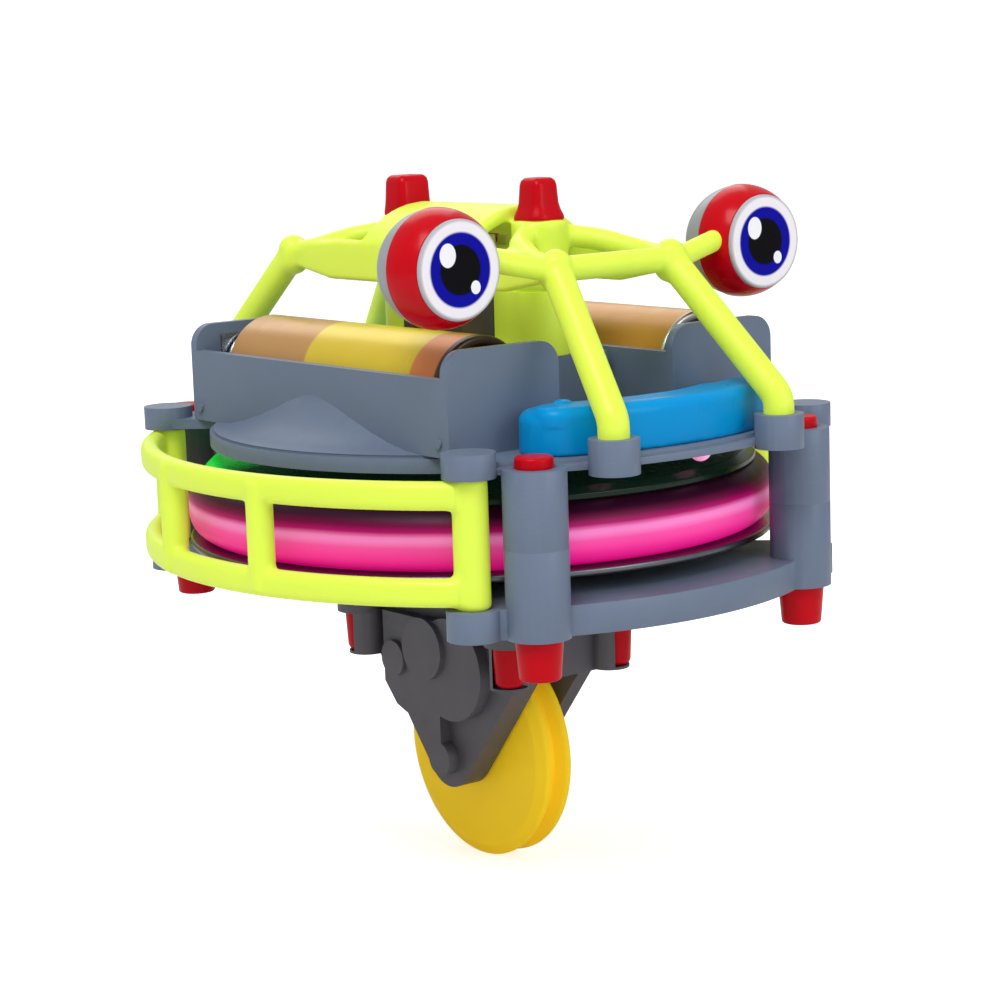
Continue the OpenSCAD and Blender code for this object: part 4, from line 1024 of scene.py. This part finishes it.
class TOP_OT_pins(bpy.types.Operator):
    """Red post pins, gearbox pegs and cage caps"""

    bl_idname = "gyro_top.pins"
    bl_label = "Pins, pegs and caps"

    def execute(self, context):
        s, c = scene_data()
        red = plastic("red_abs", c.red, roughness=0.32, scuff=0.06, dust=0.0, specular=0.12)
        shank_r, head_low, tail_high = mm(1.4, 62.6, 41.2)
        pin = [button(shank_r, PIN_LOW.z + 2 * MM, PIN_HIGH.z - 0.4 * MM, 0.2 * MM, 0.2 * MM, 32),
               button(mm(2.5, 2.45), head_low, PIN_HIGH.z, 0.1 * MM, 0.4 * MM),
               button(mm(2.65, 3.1), PIN_LOW.z, tail_high, 0.3 * MM, 0.1 * MM)]
        pin_x, pin_y = s.post_ring * math.cos(s.post_angle), s.post_ring * math.sin(s.post_angle)
        peg = [button(mm(2.0, 2.3), PEG_LOW.z, PEG_LOW.z + 5.8 * MM, 0.9 * MM, 0.15 * MM),
               button(shank_r, PEG_LOW.z + 4 * MM, PEG_HIGH.z, 0.2 * MM, 0.2 * MM, 32)]
        caps = []
        for sign, half_x, half_y, flare in ((1, 2.25, 2.15, 0.8), (-1, 2.35, 2.75, 0.25)):
            outline = rounded(mm((half_x, -half_y), (half_x, half_y), (-half_x, half_y), (-half_x, -half_y)),
                              1.2 * MM, steps=8)
            levels = mm((-0.95 * flare, 0.0), (-flare, 0.25), (-0.9 * flare, 0.6), (-0.45 * flare, 1.3),
                        (-0.1 * flare, 2.2), (0.12, 4.6), (0.3, 5.15), (0.7, 5.5), (1.0, 5.6))
            levels[:, 1] += s.boss_top
            levels[-1, 1] = CAP_HIGH.z
            shank = button(shank_r, CAP_LOW.z, s.boss_top + 1 * MM, 0.2 * MM, 0.1 * MM, 32)
            caps += moved([stack(outline, levels), shank], sign * s.boss_x, 0)
        quarters = [(1, 1), (1, -1), (-1, 1), (-1, -1)]
        pins = [made for x, y in quarters for made in moved(pin, x * pin_x, y * pin_y)]
        pegs = [made for x, y in quarters for made in moved(peg, x * s.peg_x, y * s.peg_y)]
        for name, shells, node in (("red_post_pins", pins, "post_pins"),
                                   ("red_gearbox_pegs", pegs, "gearbox_pegs"),
                                   ("red_cage_caps", caps, "cage_caps")):
            piece(name, shells, red, "chassis", (node,))
        return {"FINISHED"}


class TOP_OT_cells(bpy.types.Operator):
    """Battery cells, contact springs and motor leads"""

    bl_idname = "gyro_top.cells"
    bl_label = "Cells, springs and leads"

    def execute(self, context):
        s, c = scene_data()
        r, level = (CELL_HIGH.z - CELL_LOW.z) / 2, (CELL_HIGH.z + CELL_LOW.z) / 2
        middle = -(CELL_LOW.y + CELL_HIGH.y) / 2
        back, front, tip, step = CELL_LOW.x, CELL_HIGH.x - 1.3 * MM, CELL_HIGH.x, 0.45 * MM
        case = rounded([(0.05 * MM, back), (4.6 * MM, back), (4.9 * MM, back + 0.35 * MM),
                        (r - 0.9 * MM, back + 0.35 * MM), (r, back), (r, front), (r - 1.1 * MM, front),
                        (r - 1.5 * MM, front - step), (2.9 * MM, front - step), (2.7 * MM, tip),
                        (0.05 * MM, tip)],
                       np.array([0.15, 0.1, 0.2, 0.45, 0.5, 0.25, 0.15, 0.2, 0.35]) * MM, closed=False)
        gold, bright_gold = colour(c.cell_gold), colour(c.cell_gold, 1.25)
        tan, yellow, orange, dark = (colour(tone) for tone in (c.cell_tan, c.cell_yellow, c.cell_orange,
                                                               (0.03, 0.012, 0.01)))
        gold_sleeve = cell_material("cell_gold_sleeve", [(0.0, gold), (0.5, bright_gold), (1.0, gold)], 0.962)
        band_sleeve = cell_material("cell_band_sleeve", [
            (0.0, tan), (0.365, tan), (0.375, yellow), (0.84, yellow), (0.85, orange), (0.945, orange),
            (0.952, dark), (0.985, dark)], 0.985)
        turns, wire = 5.0, s.wire_r
        t = np.linspace(0, 1, 240)
        swing, reach = TURN * turns * t, (4.6 - 1.8 * t) * MM
        run = SPRING_LOW.x + wire + t * (CELL_LOW.x - SPRING_LOW.x - 2 * wire)
        springs = []
        for side, word, slot, sleeve in ((-1, "right", "cell_tan", band_sleeve),
                                         (1, "left", "cell_gold", gold_sleeve)):
            at = (0, side * middle, level)
            turned = lathe(case, "X", at, 96)
            piece(word + "_cell_sleeved", [turned], sleeve, "chassis", (word + "_cell",))
            path = np.stack([run, side * middle + reach * np.cos(swing), level + reach * np.sin(swing)], 1)
            springs.append(tube(path, wire, up=(1, 0, 0), sides=12))
        piece("contact_spring_coils", springs, bpy.data.materials["bright_steel"], "chassis",
              ("contact_springs",))
        leads = []
        for way in ([(-1.4, 5.4), (-7.0, 6.4), (-13, 7)], [(-1.6, -5.2), (-4.6, -1.7), (-10.9, 7)]):
            stops = [(x * MM, y * MM, LEAD_HIGH.z - s.lead_r) for x, y in way]
            path = rounded([*stops, (*stops[-1][:2], LEAD_LOW.z)], (2 * MM, 1.5 * MM), closed=False)
            leads.append(tube(path, s.lead_r, up=(0.8, 0.6, 0), sides=16))
        pvc = plastic("lead_pvc", linear(180, 18, 22), roughness=0.38)
        piece("motor_lead_sleeves", leads, pvc, "chassis", ("motor_leads",))
        return {"FINISHED"}


class TOP_PT_panel(bpy.types.Panel):
    """Sidebar list of the operators"""

    bl_label = "Gyroscope top"
    bl_idname = "TOP_PT_panel"
    bl_space_type = "VIEW_3D"
    bl_region_type = "UI"
    bl_category = "Gyroscope top"

    def draw(self, context):
        for made in OPERATORS:
            self.layout.operator(made.bl_idname)


OPERATORS = (TOP_OT_stage, TOP_OT_frames, TOP_OT_drive, TOP_OT_cage, TOP_OT_guards, TOP_OT_eyes,
             TOP_OT_covers, TOP_OT_flywheel, TOP_OT_wheel, TOP_OT_pins, TOP_OT_cells)
CLASSES = (TopSizes, TopColours, *OPERATORS, TOP_PT_panel)


def register():
    for made in CLASSES:
        bpy.utils.register_class(made)
    bpy.types.Scene.top_sizes = PointerProperty(type=TopSizes)
    bpy.types.Scene.top_colours = PointerProperty(type=TopColours)


def unregister():
    del bpy.types.Scene.top_sizes
    del bpy.types.Scene.top_colours
    for made in reversed(CLASSES):
        bpy.utils.unregister_class(made)


def main():
    """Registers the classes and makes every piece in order."""
    register()
    for made in OPERATORS:
        module, name = made.bl_idname.split(".")
        getattr(getattr(bpy.ops, module), name)()


if __name__ == "__main__":
    main()
